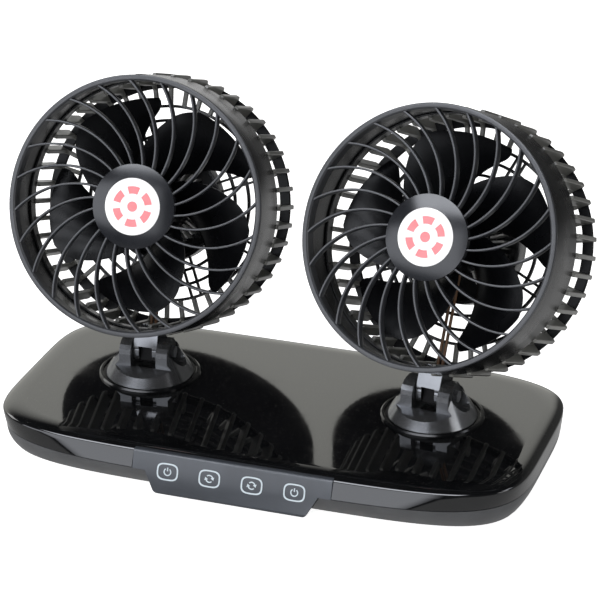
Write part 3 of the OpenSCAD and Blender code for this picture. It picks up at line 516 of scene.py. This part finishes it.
def softSection(outer, inner, low, high, soft):
    # oblong section with small soft corners, of a ring or a bar
    return [(inner + soft, low), (outer - soft, low), (outer, low + soft), (outer, high - soft),
            (outer - soft, high), (inner + soft, high), (inner, high - soft), (inner, low + soft)]


# Moulding gathers the closed forms of one piece, in its own frame

class Moulding:
    def __init__(self):
        self.points = []
        self.faces = []

    def put(self, points, faces, place=None):
        start = len(self.points)
        place = place or Matrix()
        self.points += [place @ Vector(p) for p in points]
        self.faces += [[start + i for i in face] for face in faces]
        return self

    def lathe(self, profile, count=96):
        # profile of (radius, z) corners, run round so that z rises on the outer side
        points, rows, faces = [], [], []
        for radius, z in profile:
            if radius < 1e-6:
                rows.append([len(points)]*count)
                points.append((0, 0, z))
            else:
                rows.append(list(range(len(points), len(points) + count)))
                points += [(x, y, z) for x, y in circle(0, 0, radius, count)]
        for k, low in enumerate(rows):
            high = rows[(k + 1) % len(rows)]
            for i in range(count):
                j = (i + 1) % count
                face = list(dict.fromkeys((low[i], low[j], high[j], high[i])))
                if len(face) > 2:
                    faces.append(face)
        return self.put(points, faces)

    def skin(self, rings, place=None, bentEnds=False):
        # closed skin over rings with equal numbers of points; bent ends close in strips across the ring
        count, last = len(rings[0]), (len(rings) - 1)*len(rings[0])
        faces = [list(range(count))[::-1], [last + i for i in range(count)]]
        if bentEnds:
            strips = [(i, i + 1, count - 2 - i, count - 1 - i) for i in range(count//2 - 1)]
            faces = [strip[::-1] for strip in strips] + [tuple(last + i for i in strip) for strip in strips]
        faces += ringFaces(len(rings), count)
        return self.put([p for ring in rings for p in ring], faces, place)

    def prism(self, outline, low, high, place=None):
        return self.skin([[(x, y, low) for x, y in outline], [(x, y, high) for x, y in outline]], place)

    def make(self, name, place, replaced, body, **choices):
        mesh = meshOf(name, [(place @ p)*mm for p in self.points], self.faces)
        mesh.validate()
        return finishPiece(linked(name, mesh), replaced, body, **choices)


def applied(piece):
    # turns a piece's modifiers into its mesh
    bpy.context.view_layer.update()
    done = bpy.data.meshes.new_from_object(piece.evaluated_get(bpy.context.evaluated_depsgraph_get()))
    piece.modifiers.clear()
    piece.data = done
    done.name = piece.name


softening = {"segments": 2, "from": 40}


def finishPiece(piece, replaced, body, bevel=0.0, smooth=35.0, thickness=0.0, finish=None):
    # shading, finish (its slot's own or the one named) and body of a piece; bevel and thickness in millimetres,
    # smooth in degrees
    if thickness:
        wall = piece.modifiers.new("wall", "SOLIDIFY")
        wall.thickness = thickness*mm
        wall.offset = -1
        wall.use_even_offset = True
        applied(piece)
    mesh = piece.data
    mesh.shade_smooth()
    mesh.set_sharp_from_angle(angle=math.radians(smooth))
    mesh.materials.clear()
    mesh.materials.append(extraFinishes[finish] if finish else finishes[slotOf[replaced[0]]])
    if bevel:
        soften = piece.modifiers.new("softEdges", "BEVEL")
        soften.width = bevel*mm
        soften.segments = softening["segments"]
        soften.limit_method = "ANGLE"
        soften.angle_limit = math.radians(softening["from"])
        soften.harden_normals = True
    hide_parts(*replaced)
    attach(piece, body)
    return piece


def scratch(form, place=None):
    # plain object of a form, to cut or to be cut
    place = place or Matrix()
    return linked("cutter", meshOf("cutter", [(place @ p)*mm for p in form.points], form.faces))


def carve(target, other, operation="DIFFERENCE"):
    # takes the other form out of the target, or keeps what both share
    step = target.modifiers.new("carve", "BOOLEAN")
    step.operation = operation
    step.solver = "EXACT"
    step.object = other
    applied(target)
    bpy.data.objects.remove(other)


def settled(body, name, place=None):
    # names a carved form and moves it from its own frame to its place
    if place:
        body.data.transform(Matrix.Scale(mm, 4) @ place @ Matrix.Scale(1/mm, 4))
    body.name = body.data.name = name


# Base shells: smooth rings whose front columns follow the panel's notch

panel = {
    "x": -1.8, "w": 102, "fieldW": 89, "footW": 77, "corner": 5, "out": 6.2, "gap": 0.25, "wall": 2,
    "topDrop": 1.3, "topY": 0.3, "backY": 6.2, "keyZ": 14.2, "pocket": (71.0, 11.0, 30.0),
    "edge": 1.6,  # size of the rounded edges; the two rolls give shares of it, along y and z
    "topRoll": ((1, 0), (0.62, 0.07), (0.28, 0.26), (-0.06, 0.58)),
    "footRoll": ((0.38, 0.55), (0.65, 0.25), (0.95, 0.07), (1.3, 0)),
    "cutX": 60, "cutY": (20, 100),
}
panel["topZ"] = base["h"] - panel["topDrop"]
panel["lowZ"] = base["parting"] - base["gap"]
panel["slant"] = math.atan2(panel["fieldW"] - panel["footW"], 2*(panel["lowZ"] - base["foot"]))
panel["cornerZ"] = base["foot"] + panel["corner"]
panel["cornerX"] = (panel["fieldW"]/2 - math.tan(panel["slant"])*(panel["lowZ"] - panel["cornerZ"])
                    - panel["corner"]/math.cos(panel["slant"]))
split = {
    "frontX": 98.0, "endY": 42.0,
    "beside": 14, "notch": 24, "turn": 18, "end": 16, "back": 52,  # steps of each stretch of a ring
}
notchColumns = range(split["beside"], split["beside"] + split["notch"])


def fieldHalf(z, gap):
    # half width of the key field at height z
    r = panel["corner"] + gap
    arcX = panel["cornerX"] + r*math.cos(panel["slant"])
    arcZ = panel["cornerZ"] - r*math.sin(panel["slant"])
    if z < arcZ:
        return panel["cornerX"] + math.sqrt(max(r*r - (panel["cornerZ"] - z)**2, 0))
    topX, topZ = panel["fieldW"]/2 + gap, panel["lowZ"] - gap
    return arcX + (topX - arcX)*min((z - arcZ)/(topZ - arcZ), 1)


def planRing(z, inset, share, notchHalf):
    # rounded plan of the base at height z, front columns meeting the notch's sides
    a = base["w"]/2 - inset
    b = base["d"]/2 + share*base["belly"] - inset
    n = base["square"] + share*(base["bellySquare"] - base["square"])

    def yAt(x):
        return b*(1 - abs(x/a)**n)**(1/n)

    def xAt(y):
        return a*(1 - abs(y/b)**n)**(1/n)

    fx, ey = split["frontX"], split["endY"]
    notchLeft, notchRight = panel["x"] - notchHalf, panel["x"] + notchHalf
    across = evenly(-fx, notchLeft, split["beside"]) + evenly(notchLeft, notchRight, split["notch"])[1:-1]
    across += evenly(notchRight, fx, split["beside"])
    front = [(x, -yAt(x)) for x in across]
    turns = evenly(math.acos((fx/a)**(n/2)), math.asin((ey/b)**(n/2)), split["turn"])[1:-1]
    corner = [(a*math.cos(t)**(2/n), b*math.sin(t)**(2/n)) for t in turns]
    end = [(xAt(y), y) for y in evenly(-ey, ey, split["end"])]
    right = [(x, -y) for x, y in corner] + end + corner[::-1]
    back = [(x, yAt(x)) for x in evenly(fx, -fx, split["back"])]
    left = [(-x, -y) for x, y in right]
    return [(x, y, z) for x, y in front + right + back + left]


sheetEdges = {"holeSteps": 72, "inHole": 0.999, "weld": 0.002}


def flatWithHoles(outline, z, holes, up):
    # flat face inside an outline with round holes; returns points and faces
    loops = [outline] + [circle(x, y, r, sheetEdges["holeSteps"]) for x, y, r in holes]
    points = [Vector(p) for loop in loops for p in loop]
    edges, start = [], 0
    for loop in loops:
        edges += [(start + i, start + (i + 1) % len(loop)) for i in range(len(loop))]
        start += len(loop)
    made, _, faces, _, _, _ = delaunay_2d_cdt(points, edges, [list(range(len(outline)))], 1, 1e-6)
    kept = []
    for face in faces:
        middle = sum((made[i] for i in face), Vector((0, 0)))/len(face)
        if all((middle - Vector((x, y))).length > r*sheetEdges["inHole"] for x, y, r in holes):
            kept.append(list(face) if up else list(face)[::-1])
    return [(p.x, p.y, z) for p in made], kept


def buildShell(name, replaced, rings, skipped, outline, level, holes, up):
    # joins a flat face to the rings, then gives the sheet its wall
    sheet = Moulding().put([p for ring in rings for p in ring], ringFaces(len(rings), len(rings[0]), skipped))
    piece = scratch(sheet.put(*flatWithHoles(outline, level, holes, up)))
    piece.name = name
    work = bmesh.new()
    work.from_mesh(piece.data)
    bmesh.ops.remove_doubles(work, verts=work.verts, dist=sheetEdges["weld"]*mm)
    loose = [v for v in work.verts if not v.link_faces]
    bmesh.ops.delete(work, geom=loose, context="VERTS")
    work.to_mesh(piece.data)
    work.free()
    finishPiece(piece, [replaced], "base", thickness=base["wall"])


deck = {
    "sideSteps": (0, 0.04, 0.2, 0.4, 0.6, 0.8),
    "rollSteps": (0, 0.08, 0.16, 0.24, 0.32, 0.5, 0.6, 0.7, 0.8, 0.9, 0.97, 1),
    "flatIn": 0.5, "bushHole": 18.6,
}


def buildDeck():
    # side, rolled edge and flat top with two holes for the turrets
    wide = panel["w"]/2 + panel["gap"]
    rollStart = base["h"] - base["edgeH"]
    sideH = rollStart - base["parting"]
    notchTurn = 1 - math.sqrt((base["h"] - (panel["topZ"] + panel["gap"]))/base["edgeH"])
    turns = sorted([*deck["rollSteps"], notchTurn])
    rings = [planRing(base["parting"] + sideH*u, 0, 1 - u, wide) for u in deck["sideSteps"]]
    notchRing = len(rings) + turns.index(notchTurn)
    for t in turns:
        near, mid, far = (1 - t)**2, 2*t*(1 - t), t*t
        z = near*rollStart + (mid + far)*base["h"]
        rings.append(planRing(z, far*base["edgeW"], mid*-base["edgeH"]/sideH, wide))
    rings.append(planRing(base["h"], base["edgeW"] + deck["flatIn"], 0, wide))
    swivels = [Vector(jointOf[side + "_swivel"]["pos_m"])/mm for side in sides]
    holes = [(swivel.x, swivel.y, deck["bushHole"]) for swivel in swivels]
    buildShell("deckShell", "base_top", rings, lambda k, i: k < notchRing and i in notchColumns,
               [(x, y) for x, y, z in rings[-1]], base["h"], holes, True)


lower = {
    "steps": (0, 0.015, 0.05, 0.1, 0.16, 0.23, 0.31, 0.4, 0.5, 0.6, 0.7, 0.8, 0.9, 0.97, 1),
    "partingIn": 0.3, "curve": 1.8, "screwIn": (24, 20), "screwHole": 2.8, "backGap": 0.1,
}


def buildLower():
    # side that draws in to the foot, and the floor with its screw holes
    rings = []
    for u in lower["steps"]:
        z = base["foot"] + u*(panel["lowZ"] - base["foot"])
        inset = lower["partingIn"] + (base["footInset"] - lower["partingIn"])*(1 - u)**lower["curve"]
        rings.append(planRing(z, inset, u, fieldHalf(z, panel["gap"])))
    backY = -base["d"]/2 + panel["backY"] + lower["backGap"]
    outline = [(x, y) for x, y, z in rings[0]]
    first, last = notchColumns.start, notchColumns.stop
    notched = outline[:first + 1] + [(outline[first][0], backY), (outline[last][0], backY)] + outline[last:]
    inX, inY = lower["screwIn"]
    holes = [(x*(base["w"]/2 - inX), y*(base["d"]/2 - inY), lower["screwHole"])
             for x in (-1, 0, 1) for y in (-1, 1)]
    buildShell("lowerShell", "base_bottom", rings, lambda k, i: i in notchColumns, notched, base["foot"],
               holes, False)


buildDeck()
buildLower()
print("base shells built")


# Control panel: the side profile cut to the front outline

def buildPanel():
    # leaning face with rounded top and foot, hollow behind the keys
    topY, backY = -base["d"]/2 - panel["topY"], -base["d"]/2 + panel["backY"]
    topZ, foot, e = panel["topZ"], base["foot"], panel["edge"]
    lean = math.atan2(panel["out"], topZ - foot)
    footY = topY - panel["out"]
    outline = [(backY, topZ)] + [(topY + e*y, topZ - e*z) for y, z in panel["topRoll"]]
    outline += [(topY - e*math.tan(lean), topZ - e), (footY + e*math.tan(lean), foot + e)]
    outline += [(footY + e*y, foot + e*z) for y, z in panel["footRoll"]] + [(backY, foot)]
    half = [(panel["w"]/2, topZ + 2), (panel["w"]/2, panel["lowZ"]), (panel["fieldW"]/2, panel["lowZ"])]
    half += arcPoints((panel["cornerX"], panel["cornerZ"]), panel["corner"], -math.degrees(panel["slant"]),
                      -90, 8)
    front = [(panel["x"] + x, z) for x, z in half] + [(panel["x"] - x, z) for x, z in half[::-1]]
    body = scratch(Moulding().prism(outline, -panel["cutX"], panel["cutX"], alongX))
    carve(body, scratch(Moulding().prism(front, *panel["cutY"], alongY)), "INTERSECT")
    keys = Matrix.Translation((panel["x"], topY - (topZ - panel["keyZ"])*math.tan(lean), panel["keyZ"]))
    w, h, deep = panel["pocket"]
    pocket = Moulding().prism([(-w/2, -h/2), (w/2, -h/2), (w/2, h/2), (-w/2, h/2)],
                              -panel["wall"] - deep, -panel["wall"])
    carve(body, scratch(pocket, keys @ Matrix.Rotation(math.pi/2 - lean, 4, "X")))
    settled(body, "touchPanel")
    finishPiece(body, ["control_panel"], "base", bevel=0.35, smooth=30)


buildPanel()
print("panel built")


# Front of a head: grille, cap with its disc, band; small offsets in the profiles soften their edges

grille = {
    "ribs": 24, "ribT": 1.1, "ribD": 5.0, "ribZ": -0.6, "sweep": 30.0, "bend": 63.0, "steps": 24,
    "hubR": 21.0, "hubIn": 0.8, "hubWall": 1.6, "ribIn": 1.2, "ringT": 2.2, "lip": 7.0, "lipWall": 1.2,
}
bandIn = head["ringR"] - head["wall"]


def buildGrille(side):
    # front ring with its lip, hub ring, and ribs that run from one to the other in an arc
    ring, lipR = head["ringR"], bandIn - 0.1
    face = ring - head["face"]
    g = Moulding()
    g.lathe([(face, -0.15), (face + 0.2, 0), (ring - 0.45, 0), (ring - 0.13, -0.13), (ring, -0.45),
             (ring, -grille["ringT"]), (lipR, -grille["ringT"]), (lipR, -grille["lip"]),
             (lipR - grille["lipWall"], -grille["lip"]), (face - 0.6, -0.9)][::-1], head["count"])
    hub, low = grille["hubR"] - grille["hubIn"], grille["ribZ"] - grille["ribD"] - 0.3
    g.lathe([(hub - grille["hubWall"], low), (hub, low), (hub, -0.5), (hub - grille["hubWall"], -0.5)])
    inner, outer = grille["hubR"] - grille["ribIn"], face - 0.2
    start, sweep = Vector((inner, 0)), math.radians(grille["sweep"])
    chord = Vector((math.cos(sweep), math.sin(sweep)))*outer - start
    bend = math.radians(grille["bend"])
    radius = chord.length/2/math.sin(bend/2)
    lean = math.atan2(chord.y, chord.x) - bend/2
    centre = start + Vector((-math.sin(lean), math.cos(lean)))*radius
    w, d = grille["ribT"]/2, grille["ribD"]
    section = [(-w*0.8, -d), (w*0.8, -d), (w, -d + 0.5), (w, -0.35), (w*0.72, -0.08), (w*0.3, 0), (-w*0.3, 0),
               (-w*0.72, -0.08), (-w, -0.35), (-w, -d + 0.5)]
    rows = []
    for a in evenly(lean - math.pi/2, lean - math.pi/2 + bend, grille["steps"]):
        out = Vector((math.cos(a), math.sin(a)))
        rows.append([(*(centre + out*(radius + s)), grille["ribZ"] + z) for s, z in section])
    for i in range(grille["ribs"]):
        g.skin(rows, turned(i, grille["ribs"]))
    g.make("frontGrille_" + side, headFrame(side), ["front_grille_" + side], "head_" + side)


cap = {
    "rise": 3.0, "seatR": 14.3, "seatZ": 0.6, "discR": 14.2, "discUp": 0.1, "plugIn": 2.5, "plugWall": 1.4,
    "plugOver": 0.5, "backZ": -0.5, "steps": 10, "count": 128,
}


def domeZ(r):
    # height of the cap's dome at radius r
    rise = cap["rise"]
    big = (grille["hubR"]**2 + rise*rise)/2/rise
    return rise - big + math.sqrt(big*big - r*r)


def buildCap(side):
    r0, r1, back = cap["seatR"], grille["hubR"], cap["backZ"]
    plug, plugIn = r1 - cap["plugIn"], r1 - cap["plugIn"] - cap["plugWall"]
    low = grille["ribZ"] - grille["ribD"] + cap["plugOver"]
    profile = [(0, back), (plugIn, back), (plugIn, low), (plug, low), (plug, back), (r1 - 0.5, back),
               (r1 - 0.12, -0.36), (r1, -0.1)]
    profile += [(r, domeZ(r)) for r in evenly(r1, r0, cap["steps"])]
    profile += [(r0 - 0.05, domeZ(r0) - 0.08), (r0 - 0.05, cap["seatZ"]), (0, cap["seatZ"])]
    dome = Moulding().lathe(profile, cap["count"])
    dome.make("hubCap_" + side, headFrame(side), ["hub_cap_" + side], "head_" + side)
    r, top = cap["discR"], domeZ(cap["discR"]) + cap["discUp"]
    face = [(r, cap["seatZ"]), (r, top - 0.2), (r - 0.08, top - 0.06), (r - 0.3, top), (0, top),
            (0, cap["seatZ"])]
    disc = Moulding().lathe(face, cap["count"])
    disc.make("hubDisc_" + side, headFrame(side), ["hub_badge_" + side], "head_" + side)


def buildBand(side):
    # a little wider at the rear
    ring, rear, flare = head["ringR"], -head["bandD"], head["flare"]
    z0 = -grille["ringT"] - 0.3
    profile = [(bandIn, z0), (bandIn + flare*0.3, rear), (ring + flare - 0.35, rear),
               (ring + flare - 0.1, rear + 0.1), (ring + flare, rear + 0.4), (ring - 0.1, z0 - 0.3),
               (ring - 0.4, z0)]
    band = Moulding().lathe(profile, head["count"])
    band.make("headBand_" + side, headFrame(side), ["band_" + side], "head_" + side)


# Impeller: five swept blades, rounded at the tip, on a nosed boss with its inner sleeve

blades = {
    "count": 5, "left": 18.0, "right": 64.0, "tipR": 54.0, "rootR": 15.2, "t": 1.8, "midT": 1.05, "thin": 0.65,
    "half": 31.0, "tipHalf": 27.0, "sweep": 47.0, "curl": 10.0, "roundFrom": 0.8, "round": 0.4,
    "z": -32.5, "rise": 8.5, "tipRise": 7.5, "crown": 1.6, "steps": 18,
    "stations": [*(k/14 for k in range(12)), 0.8, 0.84, 0.88, 0.92, 0.95, 0.975, 0.99, 1],
    "bossR": 16.0, "bossIn": 14.4, "bossZ0": -44.0, "noseZ": -19.0, "nose": 2.5,
    "sleeveR": 4.0, "sleeveZ": -37.5, "boreR": 1.52,
}


def bladeRing(u, phase):
    # section of a blade at share u of its length
    r = blades["rootR"] + u*(blades["tipR"] - blades["rootR"])
    past = max(u - blades["roundFrom"], 0)/(1 - blades["roundFrom"])
    spread = blades["half"] + u*(blades["tipHalf"] - blades["half"])
    spread = spread*math.sqrt(1 - blades["round"]*past*past)
    lean = blades["curl"]*u*u - (blades["sweep"] + blades["curl"])*u
    rise = blades["rise"] + u*(blades["tipRise"] - blades["rise"])

    def point(v, off):
        a = math.radians(phase + lean + spread*v)
        thick = off*(blades["midT"] - blades["thin"]*v*v)
        return (r*math.cos(a), r*math.sin(a), blades["z"] + rise*v + blades["crown"]*(1 - v*v) + thick)

    low = [point(v, -blades["t"]/2) for v in evenly(-1, 1, blades["steps"])]
    return low + [point(v, blades["t"]/2) for v in evenly(1, -1, blades["steps"])]


def buildImpeller(side):
    m = Moulding()
    for i in range(blades["count"]):
        turn = 360*i/blades["count"] + blades[side]
        m.skin([bladeRing(u, turn) for u in blades["stations"]], bentEnds=True)
    r, z0, z1, nose = blades["bossR"], blades["bossZ0"], blades["noseZ"], blades["nose"]
    m.lathe([(blades["bossIn"], z0), (r, z0), (r, z1 - nose), (r - 0.3, z1 - nose*0.5),
             (r - 0.9, z1 - nose*0.2), (r - nose, z1), (blades["boreR"], z1),
             (blades["boreR"], blades["sleeveZ"]), (blades["sleeveR"], blades["sleeveZ"]),
             (blades["sleeveR"], z1 - nose), (blades["bossIn"], z1 - nose)])
    m.make("impellerBlades_" + side, headFrame(side), ["impeller_" + side], "rotor_" + side, smooth=50)


# Rear cage: fins, rings, spokes, collar, flat rim, motor pot with its comb, and neck

cage = {
    "fins": 44, "finT": 2.3, "finOut": 1.0, "finIn": 60.7, "edge": 0.7, "corner": 2.2, "innerCorner": 2.4,
    "reach": 50.0, "bar": 2.4, "gap": 0.3, "rings": 3, "ringT": 1.5, "ringStep": 7.3, "ringCount": 128,
    "spokes": 8, "spokeGap": 5.0, "spokeT": 1.2, "collarL": 6.0, "collarT": 0.9, "collarRoot": 0.5,
    "rimIn": 59.2, "rimOut": 64.6,
}
pot = {
    "r": 30.0, "d": 11.0, "wall": 1.8, "floor": 2.0, "notchW": 6.0, "notchD": 6.6, "screwX": 8.5, "screwR": 1.3,
}
comb = {
    "count": 40, "open": 3, "in": 14.6, "out": 21.5, "t": 1.1, "tipT": 0.8, "sunk": 0.5, "h": 8.6,
}
neck = {
    "w": 12.8, "knuckleR": 7.0, "half": 8.0, "top": 13.2, "boreR": 1.65, "notchHalf": 3.33, "notchY": -3.6,
    "notchZ": 1.2, "leadR": 2.4, "leadY": 3.4, "leadZ": 3.2,
}
rearZ = -head["depth"]
finStart = -head["bandD"] - cage["gap"]


def cagePiece(form, name, side, **choices):
    # every form of the cage takes the place of the same node
    return form.make(name + "_" + side, headFrame(side), ["rear_cage_" + side], "head_" + side, **choices)


def buildFins(side):
    finR = head["ringR"] + head["flare"] + cage["finOut"]
    inner = arcPoints((cage["finIn"] - cage["innerCorner"], rearZ + cage["bar"] + cage["innerCorner"]),
                      cage["innerCorner"], -90, 0, 6)
    outer = arcPoints((finR - cage["corner"], rearZ + cage["corner"]), cage["corner"], -90, 0, 6)
    outline = [(cage["reach"], rearZ)] + outer
    outline += [(finR, finStart - cage["edge"]), (finR - cage["edge"], finStart), (cage["finIn"], finStart)]
    outline += inner[::-1] + [(cage["reach"], rearZ + cage["bar"])]
    m = Moulding()
    for i in range(cage["fins"]):
        m.prism(outline, -cage["finT"]/2, cage["finT"]/2, turned(i, cage["fins"]) @ alongY)
    # the fins wear the lighter copy of the housing plastic: painted sheen
    cagePiece(m, "cageFins", side, bevel=0.5, finish="finPaintedSheen")


def buildRearBars(side):
    m = Moulding()
    low, high = rearZ + 0.1, rearZ + cage["bar"] - 0.1
    for i in range(cage["rings"]):
        r, t = cage["reach"] - cage["ringStep"]*i, cage["ringT"]/2
        m.lathe(softSection(r + t, r - t, low, high, 0.3), cage["ringCount"])
    for i in range(cage["spokes"]):
        for y in (-cage["spokeGap"]/2, cage["spokeGap"]/2):
            section = softSection(y + cage["spokeT"]/2, y - cage["spokeT"]/2, low + 0.1, high - 0.1, 0.25)
            ends = (pot["r"] - 1, cage["reach"])
            m.skin([[(x, a, b) for a, b in section] for x in ends], turned(i, cage["spokes"]))
    r, collarLow, collarHigh = bandIn - 0.1, finStart - cage["collarRoot"], -head["bandD"] + cage["collarL"]
    m.lathe(softSection(r, r - cage["collarT"], collarLow, collarHigh, 0.2), head["count"])
    cagePiece(m, "cageBars", side)
    section = softSection(cage["rimOut"], cage["rimIn"], low + 0.1, high - 0.2, 0.4)
    # the rim wears the darker copy of the housing plastic: painted shade
    cagePiece(Moulding().lathe(section, head["count"]), "cageRim", side, finish="rimPaintedShade")


def buildPot(side):
    r, w, top, floor = pot["r"], pot["wall"], rearZ + pot["d"], rearZ + pot["floor"]
    body = scratch(Moulding().lathe([(0, rearZ), (r - 0.9, rearZ), (r - 0.3, rearZ + 0.25), (r, rearZ + 0.9),
                                     (r, top - 0.4), (r - 0.4, top), (r - w + 0.4, top), (r - w, top - 0.4),
                                     (r - w, floor), (0, floor)]))
    half = pot["notchW"]/2
    notch = [(-half, -r - 2), (half, -r - 2), (half, -r + w + 2), (-half, -r + w + 2)]
    carve(body, scratch(Moulding().prism(notch, top - pot["notchD"], top + 2)))
    for x in (-pot["screwX"], pot["screwX"]):
        carve(body, scratch(Moulding().prism(circle(x, 0, pot["screwR"], 24), rearZ - 1, floor + 1)))
    settled(body, "motorPot_" + side, headFrame(side))
    finishPiece(body, ["rear_cage_" + side], "head_" + side)


def buildComb(side):
    # cooling comb round the motor, open at the foot for the leads
    m, t, floor = Moulding(), comb["t"]/2, rearZ + pot["floor"]
    tooth = [(comb["in"], -t), (comb["out"], -t*comb["tipT"]), (comb["out"], t*comb["tipT"]), (comb["in"], t)]
    for i in range(comb["open"], comb["count"] - comb["open"]):
        m.prism(tooth, floor - comb["sunk"], floor + comb["h"], turned(i, comb["count"], -math.pi/2))
    cagePiece(m, "motorComb", side, bevel=0.2, finish="combGrey")


def buildNeck(side):
    r, half, top = neck["knuckleR"], neck["half"], neck["top"]
    outline = arcPoints((0, 0), r, 180, 360, 20) + [(half - 0.3, 0.3), (half, 1.2), (half, top), (-half, top),
                                                    (-half, 1.2), (-half + 0.3, 0.3)]
    body = scratch(Moulding().prism(outline, -neck["w"]/2, neck["w"]/2, alongX))
    carve(body, scratch(Moulding().prism(circle(0, 0, neck["boreR"], 48), -neck["w"], neck["w"], alongX)))
    slot = [(-2*r, -2*r), (neck["notchY"], -2*r), (neck["notchY"], neck["notchZ"]), (-2*r, neck["notchZ"])]
    carve(body, scratch(Moulding().prism(slot, -neck["notchHalf"], neck["notchHalf"], alongX)))
    carve(body, scratch(Moulding().prism(circle(0, neck["leadY"], neck["leadR"], 24), neck["leadZ"], top + 2)))
    settled(body, "headNeck_" + side, pinFrame(side))
    finishPiece(body, ["rear_cage_" + side], "head_" + side, bevel=0.6, finish="turretSatin")
    # the notch's inner faces are painted near-black and matt: painted shade inside the recess
    body.data.materials.append(extraFinishes["notchShade"])
    home, near = pinFrame(side).inverted(), 0.1
    for face in body.data.polygons:
        spot = home @ (face.center/mm)
        inside = abs(spot.x) < neck["notchHalf"] + near and spot.y < neck["notchY"] + near
        if inside and spot.z < neck["notchZ"] + near:
            face.material_index = 1


for side in sides:
    buildGrille(side)
    buildCap(side)
    buildBand(side)
    buildImpeller(side)
    buildFins(side)
    buildRearBars(side)
    buildPot(side)
    buildComb(side)
    buildNeck(side)
print("heads built")
